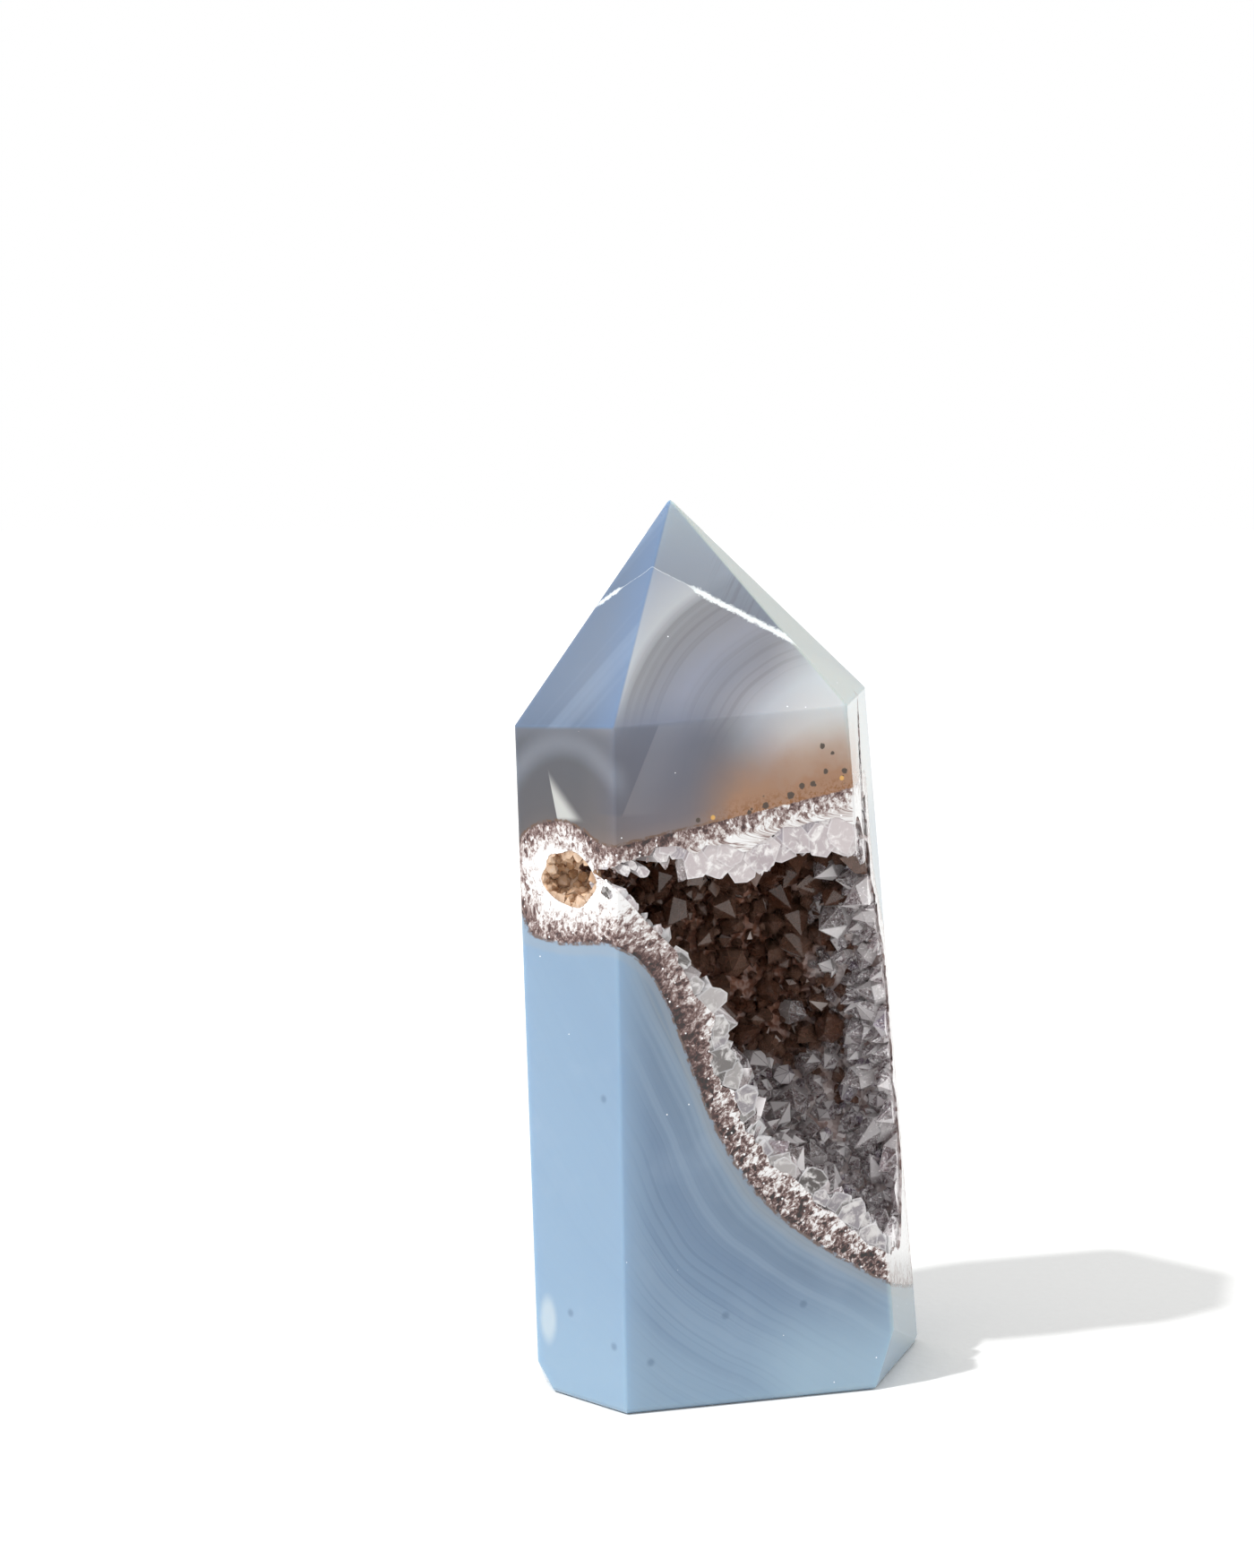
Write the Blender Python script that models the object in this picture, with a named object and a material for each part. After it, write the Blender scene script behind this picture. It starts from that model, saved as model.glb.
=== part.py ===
"""A cut and polished tower of banded agate with a quartz-lined hollow, standing on its flat base.

Metres, +Z up. The origin is on the surface that the stone stands on, under the middle of its box.
The stone grew as one piece, so it is one object: a block ground to six sides and a point, with the
natural hollows left open and the quartz points that line them joined to it.
"""

import math
import random

import bmesh
import bpy
from mathutils import Matrix, Vector, noise

MM = 0.001

# The block before grinding, in mm: wide enough for every facet to cut it.
BLOCK_WIDTH = 90.0
BLOCK_HEIGHT = 120.0

# Side facets: the way each faces and how far it leans back, in degrees, and its distance at the
# base from the origin, in mm. The stone leans a little to the left, so they lean unequally.
SIDES = {
    "front": (-72.5, 1.05, 15.85),
    "right": (-12.2, 4.6, 21.3),
    "back_right": (47.5, 5.7, 21.7),
    "back": (107.5, 0.3, 16.2),
    "back_left": (167.5, -2.2, 18.33),
    "left": (-134.5, -0.2, 22.24),
}

# The two ends of each side facet that carries a hollow, as the pairs of facets that meet there.
# Places on such a facet are given across it from its first end, and up it, in mm.
FACET_ENDS = {
    "front": (("front", "left"), ("front", "right")),
    "left": (("left", "front"), ("left", "back_left")),
    "right": (("right", "front"), ("right", "back_right")),
}

# The tip, in mm, and the six facets that meet there: the way each faces and its lean, in degrees.
APEX = (-6.3, -0.1, 99.8)
TIPS = ((-74.9, 34.8), (-14.6, 43.8), (45.0, 41.1), (107.5, 31.5), (170.0, 32.0), (-137.1, 36.3))

# Corners of the base that are ground away: the two sides that meet there, the way the cut faces
# and leans, in degrees, and its depth below the corner, in mm.
GROUND_CORNERS = (
    ("left", "back_left", -165.0, -25.0, 1.3),
    ("front", "right", -19.3, -14.3, 2.2),
)
# How deep a flat takes off each edge, in mm.
BASE_CHAMFER = 0.3
EDGE_FLAT = 0.08
# How close to a cutting plane a corner counts as lying on it, in metres.
ON_PLANE = 1e-8

# The large hollow, in mm. Its axis runs straight in from a place on the front facet. It is widest a
# little way in, and closes behind that as a superellipse of the power HOLLOW_ROUND. HOLLOW_REACH is
# its outline where it is widest: degrees anticlockwise from the right, and mm from the axis.
HOLLOW_MIDDLE = (22.0, 40.0)
HOLLOW_WIDEST = 6.0
HOLLOW_DEPTH = 22.0
HOLLOW_ROUND = 2.2
HOLLOW_REACH = (
    (0, 13.7), (40, 14.9), (59, 17.8), (67, 21.6), (80, 22.9), (97, 22.2), (108, 21.0),
    (120, 23.7), (130, 27.9), (136, 29.5), (140.5, 30.2), (143, 24.0), (145, 18.9), (154, 15.1),
    (163, 10.9), (191, 10.9), (208, 9.2), (230, 11.1), (262, 14.4), (274, 17.7), (292, 26.0),
    (300, 28.0), (307, 25.6), (316, 24.0), (324, 20.3), (334, 15.8),
)
# The waves in the hollow's wall: how high they are and how long, in mm.
WAVE_HEIGHT = 0.35
WAVE_LENGTH = 2.5
# Corners round the hollow's cutter, rings along it, and how far it starts outside the facet, in mm.
HOLLOW_STEPS = 72
HOLLOW_RINGS = 9
CUTTER_LEAD = 4.0

# Small hollows, each an ellipsoid on a side facet: the facet, the place across and up it, its half
# width, half height and depth, in mm, and how far it is turned in the facet, in degrees.
POCKETS = (
    ("left", 8.6, 58.6, 4.1, 2.9, 4.5, 0.0),
    ("left", 2.7, 57.7, 0.9, 0.6, 1.0, 20.0),
    ("right", 5.0, 70.0, 0.8, 7.5, 1.6, -11.0),
    ("right", 5.6, 63.5, 1.5, 4.0, 2.2, -8.0),
)

# Quartz points, in rows round the hollow: each row's share of the hollow's depth, how far apart its
# points stand, and their radius and length out of the wall, in mm.
POINT_ROWS = (
    (0.09, 2.9, 1.4, 2.8),
    (0.27, 3.4, 1.6, 3.0),
    (0.45, 3.6, 1.7, 3.2),
    (0.63, 3.8, 1.8, 3.2),
    (0.79, 4.0, 1.8, 3.2),
    (0.92, 4.2, 1.8, 3.2),
)
# How deep a point is rooted in the wall, in mm, and the share of its length that is a prism.
POINT_ROOT = 1.6
POINT_SHOULDER = 0.45
# How unlike each other the points are: their lean in degrees, the share of their size, and the share
# of the hollow's depth that each stands out of its row.
POINT_SPREAD = 14.0
POINT_VARIETY = 0.3
ROW_SCATTER = 0.04
POINT_SEED = 11
# A point roots at least this far inside the side facets, and is ground off this far inside them.
POINT_MARGIN = 0.9
FLUSH_GAP = 0.25

AGATE_COLOUR = (0.42, 0.50, 0.58, 1.0)
AGATE_ROUGHNESS = 0.12


def direction(azimuth, lean):
    """The unit vector that faces azimuth and rises by lean, both in degrees."""
    turn, rise = math.radians(azimuth), math.radians(lean)
    return Vector((math.cos(turn) * math.cos(rise), math.sin(turn) * math.cos(rise), math.sin(rise)))


def side_plane(name):
    """A point on the named side facet, at the height of the base, and its outward direction."""
    azimuth, lean, distance = SIDES[name]
    facing = direction(azimuth, lean)
    return direction(azimuth, 0.0) * distance * MM, facing


def base_corner(first, second):
    """Where two side facets meet at the height of the base."""
    rows, distances = [], []
    for name in (first, second):
        azimuth, _, distance = SIDES[name]
        rows.append(direction(azimuth, 0.0).to_2d())
        distances.append(distance * MM)
    return (Matrix(rows).inverted() @ Vector(distances)).to_3d()


def facet_frame(name):
    """A side facet's first end at the base, the ways across and up it, and the way it faces."""
    _, facing = side_plane(name)
    first, last = (base_corner(*pair) for pair in FACET_ENDS[name])
    across_way = (last - first).normalized()
    up_way = across_way.cross(facing)
    if up_way.z < 0:
        up_way.negate()
    return first, across_way, up_way, facing


def facet_place(name, across, up, inward=0.0):
    """A place on a side facet, or straight inward from it, in mm."""
    first, across_way, up_way, facing = facet_frame(name)
    return first + (across_way * across + up_way * up - facing * inward) * MM


def cut(mesh, point, facing):
    """Grinds away all that lies beyond a plane and closes the new facet."""
    everything = mesh.verts[:] + mesh.edges[:] + mesh.faces[:]
    bmesh.ops.bisect_plane(
        mesh, geom=everything, dist=ON_PLANE, plane_co=point, plane_no=facing, clear_outer=True
    )
    bmesh.ops.holes_fill(mesh, edges=mesh.edges[:])


def soften_edges(mesh):
    """Takes the sharpness off every edge of the block with a narrow flat, wider round the base."""
    flats = []
    for edge in mesh.edges:
        facing = sum((face.normal for face in edge.link_faces), Vector()).normalized()
        start, end = (vertex.co for vertex in edge.verts)
        depth = BASE_CHAMFER if max(start.z, end.z) < BASE_CHAMFER * MM else EDGE_FLAT
        flats.append(((start + end) / 2 - facing * depth * MM, facing))
    for point, facing in flats:
        cut(mesh, point, facing)


def polished_block():
    """The stone before its hollows: a block ground to its sides, point, corners and edges."""
    mesh = bmesh.new()
    size = Matrix.Diagonal((BLOCK_WIDTH * MM, BLOCK_WIDTH * MM, BLOCK_HEIGHT * MM, 1.0))
    bmesh.ops.create_cube(mesh, size=1.0, matrix=size)
    bmesh.ops.translate(mesh, verts=mesh.verts, vec=(0.0, 0.0, BLOCK_HEIGHT * MM / 2))
    bmesh.ops.recalc_face_normals(mesh, faces=mesh.faces)
    for name in SIDES:
        cut(mesh, *side_plane(name))
    for azimuth, lean in TIPS:
        cut(mesh, Vector(APEX) * MM, direction(azimuth, lean))
    for first, second, azimuth, lean, depth in GROUND_CORNERS:
        facing = direction(azimuth, lean)
        cut(mesh, base_corner(first, second) - facing * depth * MM, facing)
    soften_edges(mesh)
    bmesh.ops.recalc_face_normals(mesh, faces=mesh.faces)
    return mesh


def hollow_reach(angle):
    """How far the hollow reaches from its axis at an angle, eased between its outline's points."""
    angle %= 360.0
    points = HOLLOW_REACH + ((HOLLOW_REACH[0][0] + 360, HOLLOW_REACH[0][1]),)
    for (start, near), (end, far) in zip(points, points[1:]):
        if start <= angle <= end:
            share = (angle - start) / (end - start)
            return near + (far - near) * share * share * (3 - 2 * share)
    raise ValueError(f"no outline at {angle} degrees")


def hollow_place(angle, share):
    """A point on the hollow's wall: share is 0 at the front facet and 1 at the deepest place.

    Up to its widest ring the wall opens a little, and behind it the wall closes as a superellipse.
    """
    power = 2.0 / HOLLOW_ROUND
    lead = HOLLOW_WIDEST / HOLLOW_DEPTH
    closing = HOLLOW_DEPTH - HOLLOW_WIDEST
    if share <= lead:
        depth = share * HOLLOW_DEPTH
        width = (1 - ((HOLLOW_WIDEST - depth) / closing) ** HOLLOW_ROUND) ** (1 / HOLLOW_ROUND)
    else:
        bend = math.pi / 2 * (share - lead) / (1 - lead)
        depth = HOLLOW_WIDEST + closing * math.sin(bend) ** power
        width = max(math.cos(bend), 0.0) ** power
    turn = math.radians(angle)
    reach = hollow_reach(angle) * width
    across = HOLLOW_MIDDLE[0] + reach * math.cos(turn)
    up = HOLLOW_MIDDLE[1] + reach * math.sin(turn)
    place = facet_place("front", across, up, depth)
    wave = noise.noise(place / (WAVE_LENGTH * MM)) * WAVE_HEIGHT * MM
    return place + (place - hollow_heart()).normalized() * wave


def hollow_heart():
    """A place in the middle of the hollow, from which its whole wall can be seen."""
    return facet_place("front", *HOLLOW_MIDDLE, HOLLOW_WIDEST)


def large_hollow():
    """The cutter for the large hollow: rings from outside the front facet to the deepest place."""
    mesh = bmesh.new()
    outward = side_plane("front")[1]
    angles = [360.0 * i / HOLLOW_STEPS for i in range(HOLLOW_STEPS)]
    rings = [[hollow_place(a, 0.0) + outward * CUTTER_LEAD * MM for a in angles]]
    for ring in range(HOLLOW_RINGS):
        rings.append([hollow_place(a, ring / HOLLOW_RINGS) for a in angles])
    made = [[mesh.verts.new(place) for place in ring] for ring in rings]
    for near, far in zip(made, made[1:]):
        for i in range(HOLLOW_STEPS):
            after = (i + 1) % HOLLOW_STEPS
            mesh.faces.new((near[i], near[after], far[after], far[i]))
    deepest = mesh.verts.new(hollow_place(0.0, 1.0))
    for i in range(HOLLOW_STEPS):
        mesh.faces.new((made[-1][i], made[-1][(i + 1) % HOLLOW_STEPS], deepest))
    mesh.faces.new(made[0])
    bmesh.ops.recalc_face_normals(mesh, faces=mesh.faces)
    bmesh.ops.triangulate(mesh, faces=mesh.faces)
    return mesh


def pocket(facet, across, up, half_width, half_height, depth, turn):
    """The cutter for a small hollow: an ellipsoid centred on its facet."""
    mesh = bmesh.new()
    bmesh.ops.create_icosphere(mesh, subdivisions=2, radius=1.0)
    axes = Matrix(facet_frame(facet)[1:]).transposed().to_4x4()
    sizes = Matrix.Diagonal((half_width * MM, half_height * MM, depth * MM, 1.0))
    middle = Matrix.Translation(facet_place(facet, across, up))
    turned = Matrix.Rotation(math.radians(turn), 4, "Z")
    bmesh.ops.transform(mesh, verts=mesh.verts, matrix=middle @ axes @ turned @ sizes)
    bmesh.ops.recalc_face_normals(mesh, faces=mesh.faces)
    return mesh


def inside_by(place):
    """How far a place lies inside the nearest side facet, in metres."""
    planes = [side_plane(name) for name in SIDES]
    return min((point - place).dot(facing) for point, facing in planes)


def quartz_point(root, axis, radius, length, turn):
    """A six-sided crystal: a prism along its axis and a point of six faces, clipped to the sides."""
    mesh = bmesh.new()
    shoulder = length * POINT_SHOULDER
    rings = []
    for height in (0.0, shoulder):
        ring = []
        for i in range(6):
            angle = turn + i * math.pi / 3
            ring.append(mesh.verts.new((radius * math.cos(angle), radius * math.sin(angle), height)))
        rings.append(ring)
    tip = mesh.verts.new((0.0, 0.0, length))
    mesh.faces.new(rings[0])
    for i in range(6):
        after = (i + 1) % 6
        mesh.faces.new((rings[0][i], rings[0][after], rings[1][after], rings[1][i]))
        mesh.faces.new((rings[1][i], rings[1][after], tip))
    place = Matrix.Translation(root) @ axis.to_track_quat("Z", "Y").to_matrix().to_4x4()
    bmesh.ops.transform(mesh, verts=mesh.verts, matrix=place)
    for name in SIDES:
        point, facing = side_plane(name)
        cut(mesh, point - facing * FLUSH_GAP * MM, facing)
    bmesh.ops.recalc_face_normals(mesh, faces=mesh.faces)
    return mesh


def row_angles(share, spacing):
    """Angles round the hollow's axis that stand a spacing apart, in mm along the wall."""
    angles, gone = [], 0.0
    before = hollow_place(0.0, share)
    for angle in range(1, 361):
        here = hollow_place(angle, share)
        gone += (here - before).length
        before = here
        if gone >= spacing * MM:
            angles.append(angle)
            gone = 0.0
    return angles


def point_meshes():
    """The quartz points, in rows round the large hollow's wall, wherever there is wall to hold them."""
    draw = random.Random(POINT_SEED)
    heart = hollow_heart()
    made = []
    for share, spacing, radius, length in POINT_ROWS:
        for angle in row_angles(share, spacing):
            wall = hollow_place(angle, share + draw.uniform(-ROW_SCATTER, ROW_SCATTER))
            hinge = direction(draw.uniform(0, 360), draw.uniform(-90, 90))
            lean = Matrix.Rotation(math.radians(draw.uniform(0, POINT_SPREAD)), 3, hinge)
            size = 1 + draw.uniform(-POINT_VARIETY, POINT_VARIETY)
            turn = draw.uniform(0, math.pi / 3)
            if inside_by(wall) < POINT_MARGIN * MM:
                continue
            axis = lean @ (heart - wall).normalized()
            root = wall - axis * POINT_ROOT * MM
            reach = (POINT_ROOT + length * size) * MM
            made.append(quartz_point(root, axis, radius * size * MM, reach, turn))
    return made


def agate_material():
    """Polished grey-blue agate."""
    material = bpy.data.materials.new("agate")
    material.use_nodes = True
    shader = material.node_tree.nodes["Principled BSDF"]
    shader.inputs["Base Color"].default_value = AGATE_COLOUR
    shader.inputs["Roughness"].default_value = AGATE_ROUGHNESS
    shader.inputs["Metallic"].default_value = 0.0
    return material


def add_object(name, mesh, collection):
    """Turns a bmesh into an object of the collection."""
    data = bpy.data.meshes.new(name)
    mesh.to_mesh(data)
    mesh.free()
    made = bpy.data.objects.new(name, data)
    collection.objects.link(made)
    return made


def add_helpers(name, meshes):
    """A collection of helper shapes that only the Boolean modifiers read."""
    collection = bpy.data.collections.new(name)
    bpy.context.scene.collection.children.link(collection)
    collection.hide_render = True
    for number, mesh in enumerate(meshes):
        helper = add_object(f"{name}_{number}", mesh, collection)
        helper.hide_render = True
        helper.display_type = "WIRE"
    return collection


def add_boolean(stone, operation, collection, solver):
    """A Boolean of the stone with a whole collection of helpers."""
    modifier = stone.modifiers.new(operation.lower(), "BOOLEAN")
    modifier.operation = operation
    modifier.operand_type = "COLLECTION"
    modifier.collection = collection
    modifier.solver = solver


def main():
    for old in list(bpy.data.objects):
        bpy.data.objects.remove(old)
    stone = add_object("amethyst_tower", polished_block(), bpy.context.scene.collection)
    stone.data.materials.append(agate_material())
    hollows = [large_hollow()] + [pocket(*row) for row in POCKETS]
    add_boolean(stone, "DIFFERENCE", add_helpers("hollow", hollows), "EXACT")
    # The points overlap each other as well as the stone, which the manifold solver joins cleanly.
    add_boolean(stone, "UNION", add_helpers("quartz_point", point_meshes()), "MANIFOLD")


main()
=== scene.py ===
"""The looks of a polished agate tower whose open hollow is lined with quartz and amethyst points.

It is laid out as an add-on and run as a script: each operator makes one piece or one group of like
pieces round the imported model. Sizes inside are in millimetres, and meshes are written in metres.
"""

import math

import bmesh
import bpy
import numpy as np
from bpy.props import FloatProperty, FloatVectorProperty, IntProperty, PointerProperty
from bpy.types import Operator, Panel, PropertyGroup
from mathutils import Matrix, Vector


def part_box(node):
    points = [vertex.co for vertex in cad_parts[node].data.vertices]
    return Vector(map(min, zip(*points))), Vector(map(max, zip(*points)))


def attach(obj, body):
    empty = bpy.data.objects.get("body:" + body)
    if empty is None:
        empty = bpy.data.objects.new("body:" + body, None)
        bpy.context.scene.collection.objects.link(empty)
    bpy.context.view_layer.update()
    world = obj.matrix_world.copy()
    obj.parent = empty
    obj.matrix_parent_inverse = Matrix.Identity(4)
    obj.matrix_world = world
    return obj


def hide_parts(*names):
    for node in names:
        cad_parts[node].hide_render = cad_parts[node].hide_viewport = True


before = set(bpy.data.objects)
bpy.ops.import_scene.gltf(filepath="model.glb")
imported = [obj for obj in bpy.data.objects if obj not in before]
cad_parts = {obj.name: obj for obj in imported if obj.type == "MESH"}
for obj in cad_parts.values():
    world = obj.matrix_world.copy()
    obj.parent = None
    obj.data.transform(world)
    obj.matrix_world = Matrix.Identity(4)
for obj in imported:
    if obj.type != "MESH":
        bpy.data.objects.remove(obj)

bl_info = {
    "name": "Agate tower",
    "version": (1, 0, 0),
    "blender": (4, 5, 0),
    "location": "View3D > Sidebar > Agate Tower",
    "description": "Models a polished agate tower with a quartz-lined hollow",
    "category": "Add Mesh",
}

NODE = "amethyst_tower"
MM = 0.001
LOW, HIGH = (np.array(corner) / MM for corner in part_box(NODE))
HEIGHT = HIGH[2] - LOW[2]

# Side facets, in order round the stone: the way each faces and its lean back, in degrees, and its
# distance at the base from the origin. The six facets of the point meet at the tip.
SIDES = np.array((
    (-72.5, 1.05, 15.85), (-12.2, 4.6, 21.3), (47.5, 5.7, 21.7),
    (107.5, 0.3, 16.2), (167.5, -2.2, 18.33), (-134.5, -0.2, 22.24),
))
FRONT, RIGHT, BACK_LEFT, LEFT = 0, 1, 4, 5
TIPS = np.array((
    (-74.9, 34.8), (-14.6, 43.8), (45.0, 41.1), (107.5, 31.5), (170.0, 32.0), (-137.1, 36.3),
))
APEX = np.array((-6.3, -0.1, HEIGHT + 0.12))
# Ground corners of the base: the side before the corner, the way the cut faces, its lean and depth.
GROUND_CORNERS = ((BACK_LEFT, -165.0, -25.0, 1.3), (FRONT, -19.3, -14.3, 2.2))


def direction(azimuth, lean):
    """Unit vectors that face azimuth and rise by lean, in degrees."""
    turn, rise = np.radians(azimuth), np.radians(lean)
    flat = np.cos(rise)
    return np.stack(np.broadcast_arrays(np.cos(turn) * flat, np.sin(turn) * flat, np.sin(rise)), -1)


SIDE_WAYS = direction(SIDES[:, 0], SIDES[:, 1])
SIDE_OFFSETS = SIDES[:, 2] * np.cos(np.radians(SIDES[:, 1]))
TIP_WAYS = direction(TIPS[:, 0], TIPS[:, 1])
TIP_OFFSETS = TIP_WAYS @ APEX


def unit(vectors):
    """The vectors at length one."""
    return vectors / np.linalg.norm(vectors, axis=-1, keepdims=True)


def edge_lines():
    """The base corner and the upward way of the edge after each side: where two facets meet.

    A corner solves the two facets' plane equations together with z = 0, and the way is the cross
    product of their outward ways.
    """
    after = np.roll(SIDE_WAYS, -1, 0)
    ways = unit(np.cross(SIDE_WAYS, after))
    ways *= np.sign(ways[:, 2:])
    level = np.broadcast_to((0.0, 0.0, 1.0), after.shape)
    planes = np.stack((SIDE_WAYS, after, level), 1)
    offsets = np.stack((SIDE_OFFSETS, np.roll(SIDE_OFFSETS, -1), np.zeros(len(SIDES))), 1)
    return np.linalg.solve(planes, offsets[..., None])[..., 0], ways


CORNERS, EDGE_WAYS = edge_lines()


class Facet:
    """A side facet's own frame: its first corner, the ways across and up it, and inwards."""

    def __init__(self, side, first, last):
        self.start = CORNERS[first]
        self.across = unit(CORNERS[last] - CORNERS[first])
        self.inward = -SIDE_WAYS[side]
        self.up = np.cross(self.across, -self.inward)
        self.up *= np.sign(self.up[2])

    def place(self, across, up, depth=0.0):
        """Places across and up the facet and behind it, from its first corner."""
        parts = np.broadcast_arrays(across, up, depth)
        ways = (self.across, self.up, self.inward)
        return self.start + sum(part[..., None] * way for part, way in zip(parts, ways))

    def within(self, places):
        """How far places are across, up and behind the facet."""
        return tuple((places - self.start) @ way for way in (self.across, self.up, self.inward))


FRONT_FACET = Facet(FRONT, LEFT, FRONT)
RIGHT_FACET = Facet(RIGHT, FRONT, RIGHT)
LEFT_FACET = Facet(LEFT, LEFT, BACK_LEFT)

# The large hollow: its axis runs in from a place on the front facet. It is widest a little way in,
# and closes behind that as a superellipse. Its outline there goes round the axis anticlockwise from
# the right, as degrees and reach.
HOLLOW_AXIS = (22.0, 40.0)
HOLLOW_WIDEST = 6.0
HOLLOW_DEPTH = 22.0
HOLLOW_ROUND = 2.2
HOLLOW_OUTLINE = np.array((
    (0, 13.7), (40, 14.9), (59, 17.8), (67, 21.6), (80, 22.9), (97, 22.2), (108, 21.0), (120, 23.7),
    (130, 27.9), (136, 29.5), (140.5, 30.2), (143, 24.0), (145, 18.9), (154, 15.1), (163, 10.9),
    (191, 10.9), (208, 9.2), (230, 11.1), (262, 14.4), (274, 17.7), (292, 26.0), (300, 28.0),
    (307, 25.6), (316, 24.0), (324, 20.3), (334, 15.8), (360, 13.7),
))
LEAD = 5.0
SLIVER = 0.003
# What stays of the stone between the hollow and the back facets.
BACK_SIDES = (2, 3, 4)
BACK_WALL = 1.4
# How much further the stone is opened behind the rim's cut crystals than the hollow's own wall.
RIM_OPENING = np.array(((0, 0.0), (52, 0.3), (66, 2.2), (125, 1.9), (142, 0.2), (360, 0.0)))
RIM_DEPTH = 6.0


def smooth_step(share):
    """Eases from 0 to 1: three times the square less twice the cube."""
    share = np.clip(share, 0.0, 1.0)
    return share * share * (3 - 2 * share)


def hollow_reach(angle):
    """The outline's reach at an angle: eased from each of its points to the next."""
    angle = np.mod(angle, 360.0)
    after = np.clip(np.searchsorted(HOLLOW_OUTLINE[:, 0], angle, "right"), 1, len(HOLLOW_OUTLINE) - 1)
    start, near = np.moveaxis(HOLLOW_OUTLINE[after - 1], -1, 0)
    end, far = np.moveaxis(HOLLOW_OUTLINE[after], -1, 0)
    return near + (far - near) * smooth_step((angle - start) / (end - start))


def kept_from_back(places):
    """Moves places that come too near a back facet in again, along that facet's way."""
    for side in BACK_SIDES:
        way = SIDE_WAYS[side]
        beyond = np.maximum(0.0, places @ way - (SIDE_OFFSETS[side] - BACK_WALL))
        places = places - beyond[..., None] * way
    return places


def hollow_wall(angle, share, spread=0.0):
    """Places on the hollow's wall: share is 0 at the front facet, 1 at the deepest, under 0 outside.

    In front of the widest ring the wall closes by the superellipse taken linearly in depth, and
    behind it by the superellipse taken as an angle, so rings stay evenly apart. Spread moves the
    whole wall out from the axis.
    """
    power = 2.0 / HOLLOW_ROUND
    lead = HOLLOW_WIDEST / HOLLOW_DEPTH
    closing = HOLLOW_DEPTH - HOLLOW_WIDEST
    ahead = np.clip((lead - share) * HOLLOW_DEPTH / closing, 0.0, 0.6)
    bend = np.clip((share - lead) / (1 - lead), 0.0, 1.0) * np.pi / 2
    behind = HOLLOW_WIDEST + (closing + spread) * np.sin(bend) ** power
    depth = np.where(share <= lead, share * HOLLOW_DEPTH, behind)
    width = (1 - ahead ** HOLLOW_ROUND) ** (1 / HOLLOW_ROUND) * np.cos(bend) ** power
    reach = (hollow_reach(angle) + spread) * width
    turn = np.radians(angle)
    across = HOLLOW_AXIS[0] + reach * np.cos(turn)
    up = HOLLOW_AXIS[1] + reach * np.sin(turn)
    return kept_from_back(FRONT_FACET.place(across, up, depth))


HEART = FRONT_FACET.place(*HOLLOW_AXIS, HOLLOW_WIDEST)


def in_hollow(places, spread):
    """Whether places lie in the large hollow once its wall is moved out by a spread."""
    across, up, depth = FRONT_FACET.within(places)
    run, rise = across - HOLLOW_AXIS[0], up - HOLLOW_AXIS[1]
    share = np.clip(np.abs(depth - HOLLOW_WIDEST) / (HOLLOW_DEPTH - HOLLOW_WIDEST), 0.0, 1.0)
    width = (1 - share ** HOLLOW_ROUND) ** (1 / HOLLOW_ROUND)
    reach = (hollow_reach(np.degrees(np.arctan2(rise, run))) + spread) * width
    return np.hypot(run, rise) < reach


def lumps(places, length, seed):
    """Smooth lumps between -1 and 1: sines of the place along six slanted ways, averaged."""
    draw = np.random.default_rng(seed)
    ways = unit(draw.normal(size=(6, 3))) * 2 * np.pi / length * draw.uniform(0.6, 1.7, (6, 1))
    return np.sin(places @ ways.T + draw.uniform(0, 2 * np.pi, 6)).mean(-1) * 1.6


def mesh_of(name, places, faces):
    """An object at the origin with places in mm and faces by their corners' numbers."""
    mesh = bpy.data.meshes.new(name)
    mesh.from_pydata((np.asarray(places).reshape(-1, 3) * MM).tolist(), [], faces)
    made = bpy.data.objects.new(name, mesh)
    bpy.context.scene.collection.objects.link(made)
    return made


def surface(name, rings):
    """A closed skin over rings of places: four-sided faces between rings, and a face at each end.

    A ring whose places are all the same is a pole, and its corners are merged.
    """
    count, around = rings.shape[:2]
    here = np.arange(count * around).reshape(count, around)
    after = np.roll(here, -1, 1)
    faces = np.stack((here[:-1], after[:-1], after[1:], here[1:]), -1).reshape(-1, 4).tolist()
    ends = [here[i].tolist() for i in (0, -1) if np.ptp(rings[i], 0).max() > 1e-6]
    made = mesh_of(name, rings, faces + ends)
    shape = bmesh.new()
    shape.from_mesh(made.data)
    bmesh.ops.remove_doubles(shape, verts=shape.verts, dist=1e-7)
    bmesh.ops.recalc_face_normals(shape, faces=shape.faces)
    bmesh.ops.triangulate(shape, faces=shape.faces)
    shape.to_mesh(made.data)
    shape.free()
    return made


def grind(shape, point, way):
    """Takes away all that lies beyond a plane, and closes each cut with a flat face."""
    everything = shape.verts[:] + shape.edges[:] + shape.faces[:]
    cut = bmesh.ops.bisect_plane(
        shape, geom=everything, dist=1e-8, plane_co=point, plane_no=way, clear_outer=True
    )
    edges = [part for part in cut["geom_cut"] if isinstance(part, bmesh.types.BMEdge)]
    bmesh.ops.edgeloop_fill(shape, edges=edges)
    bmesh.ops.recalc_face_normals(shape, faces=shape.faces)


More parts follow.
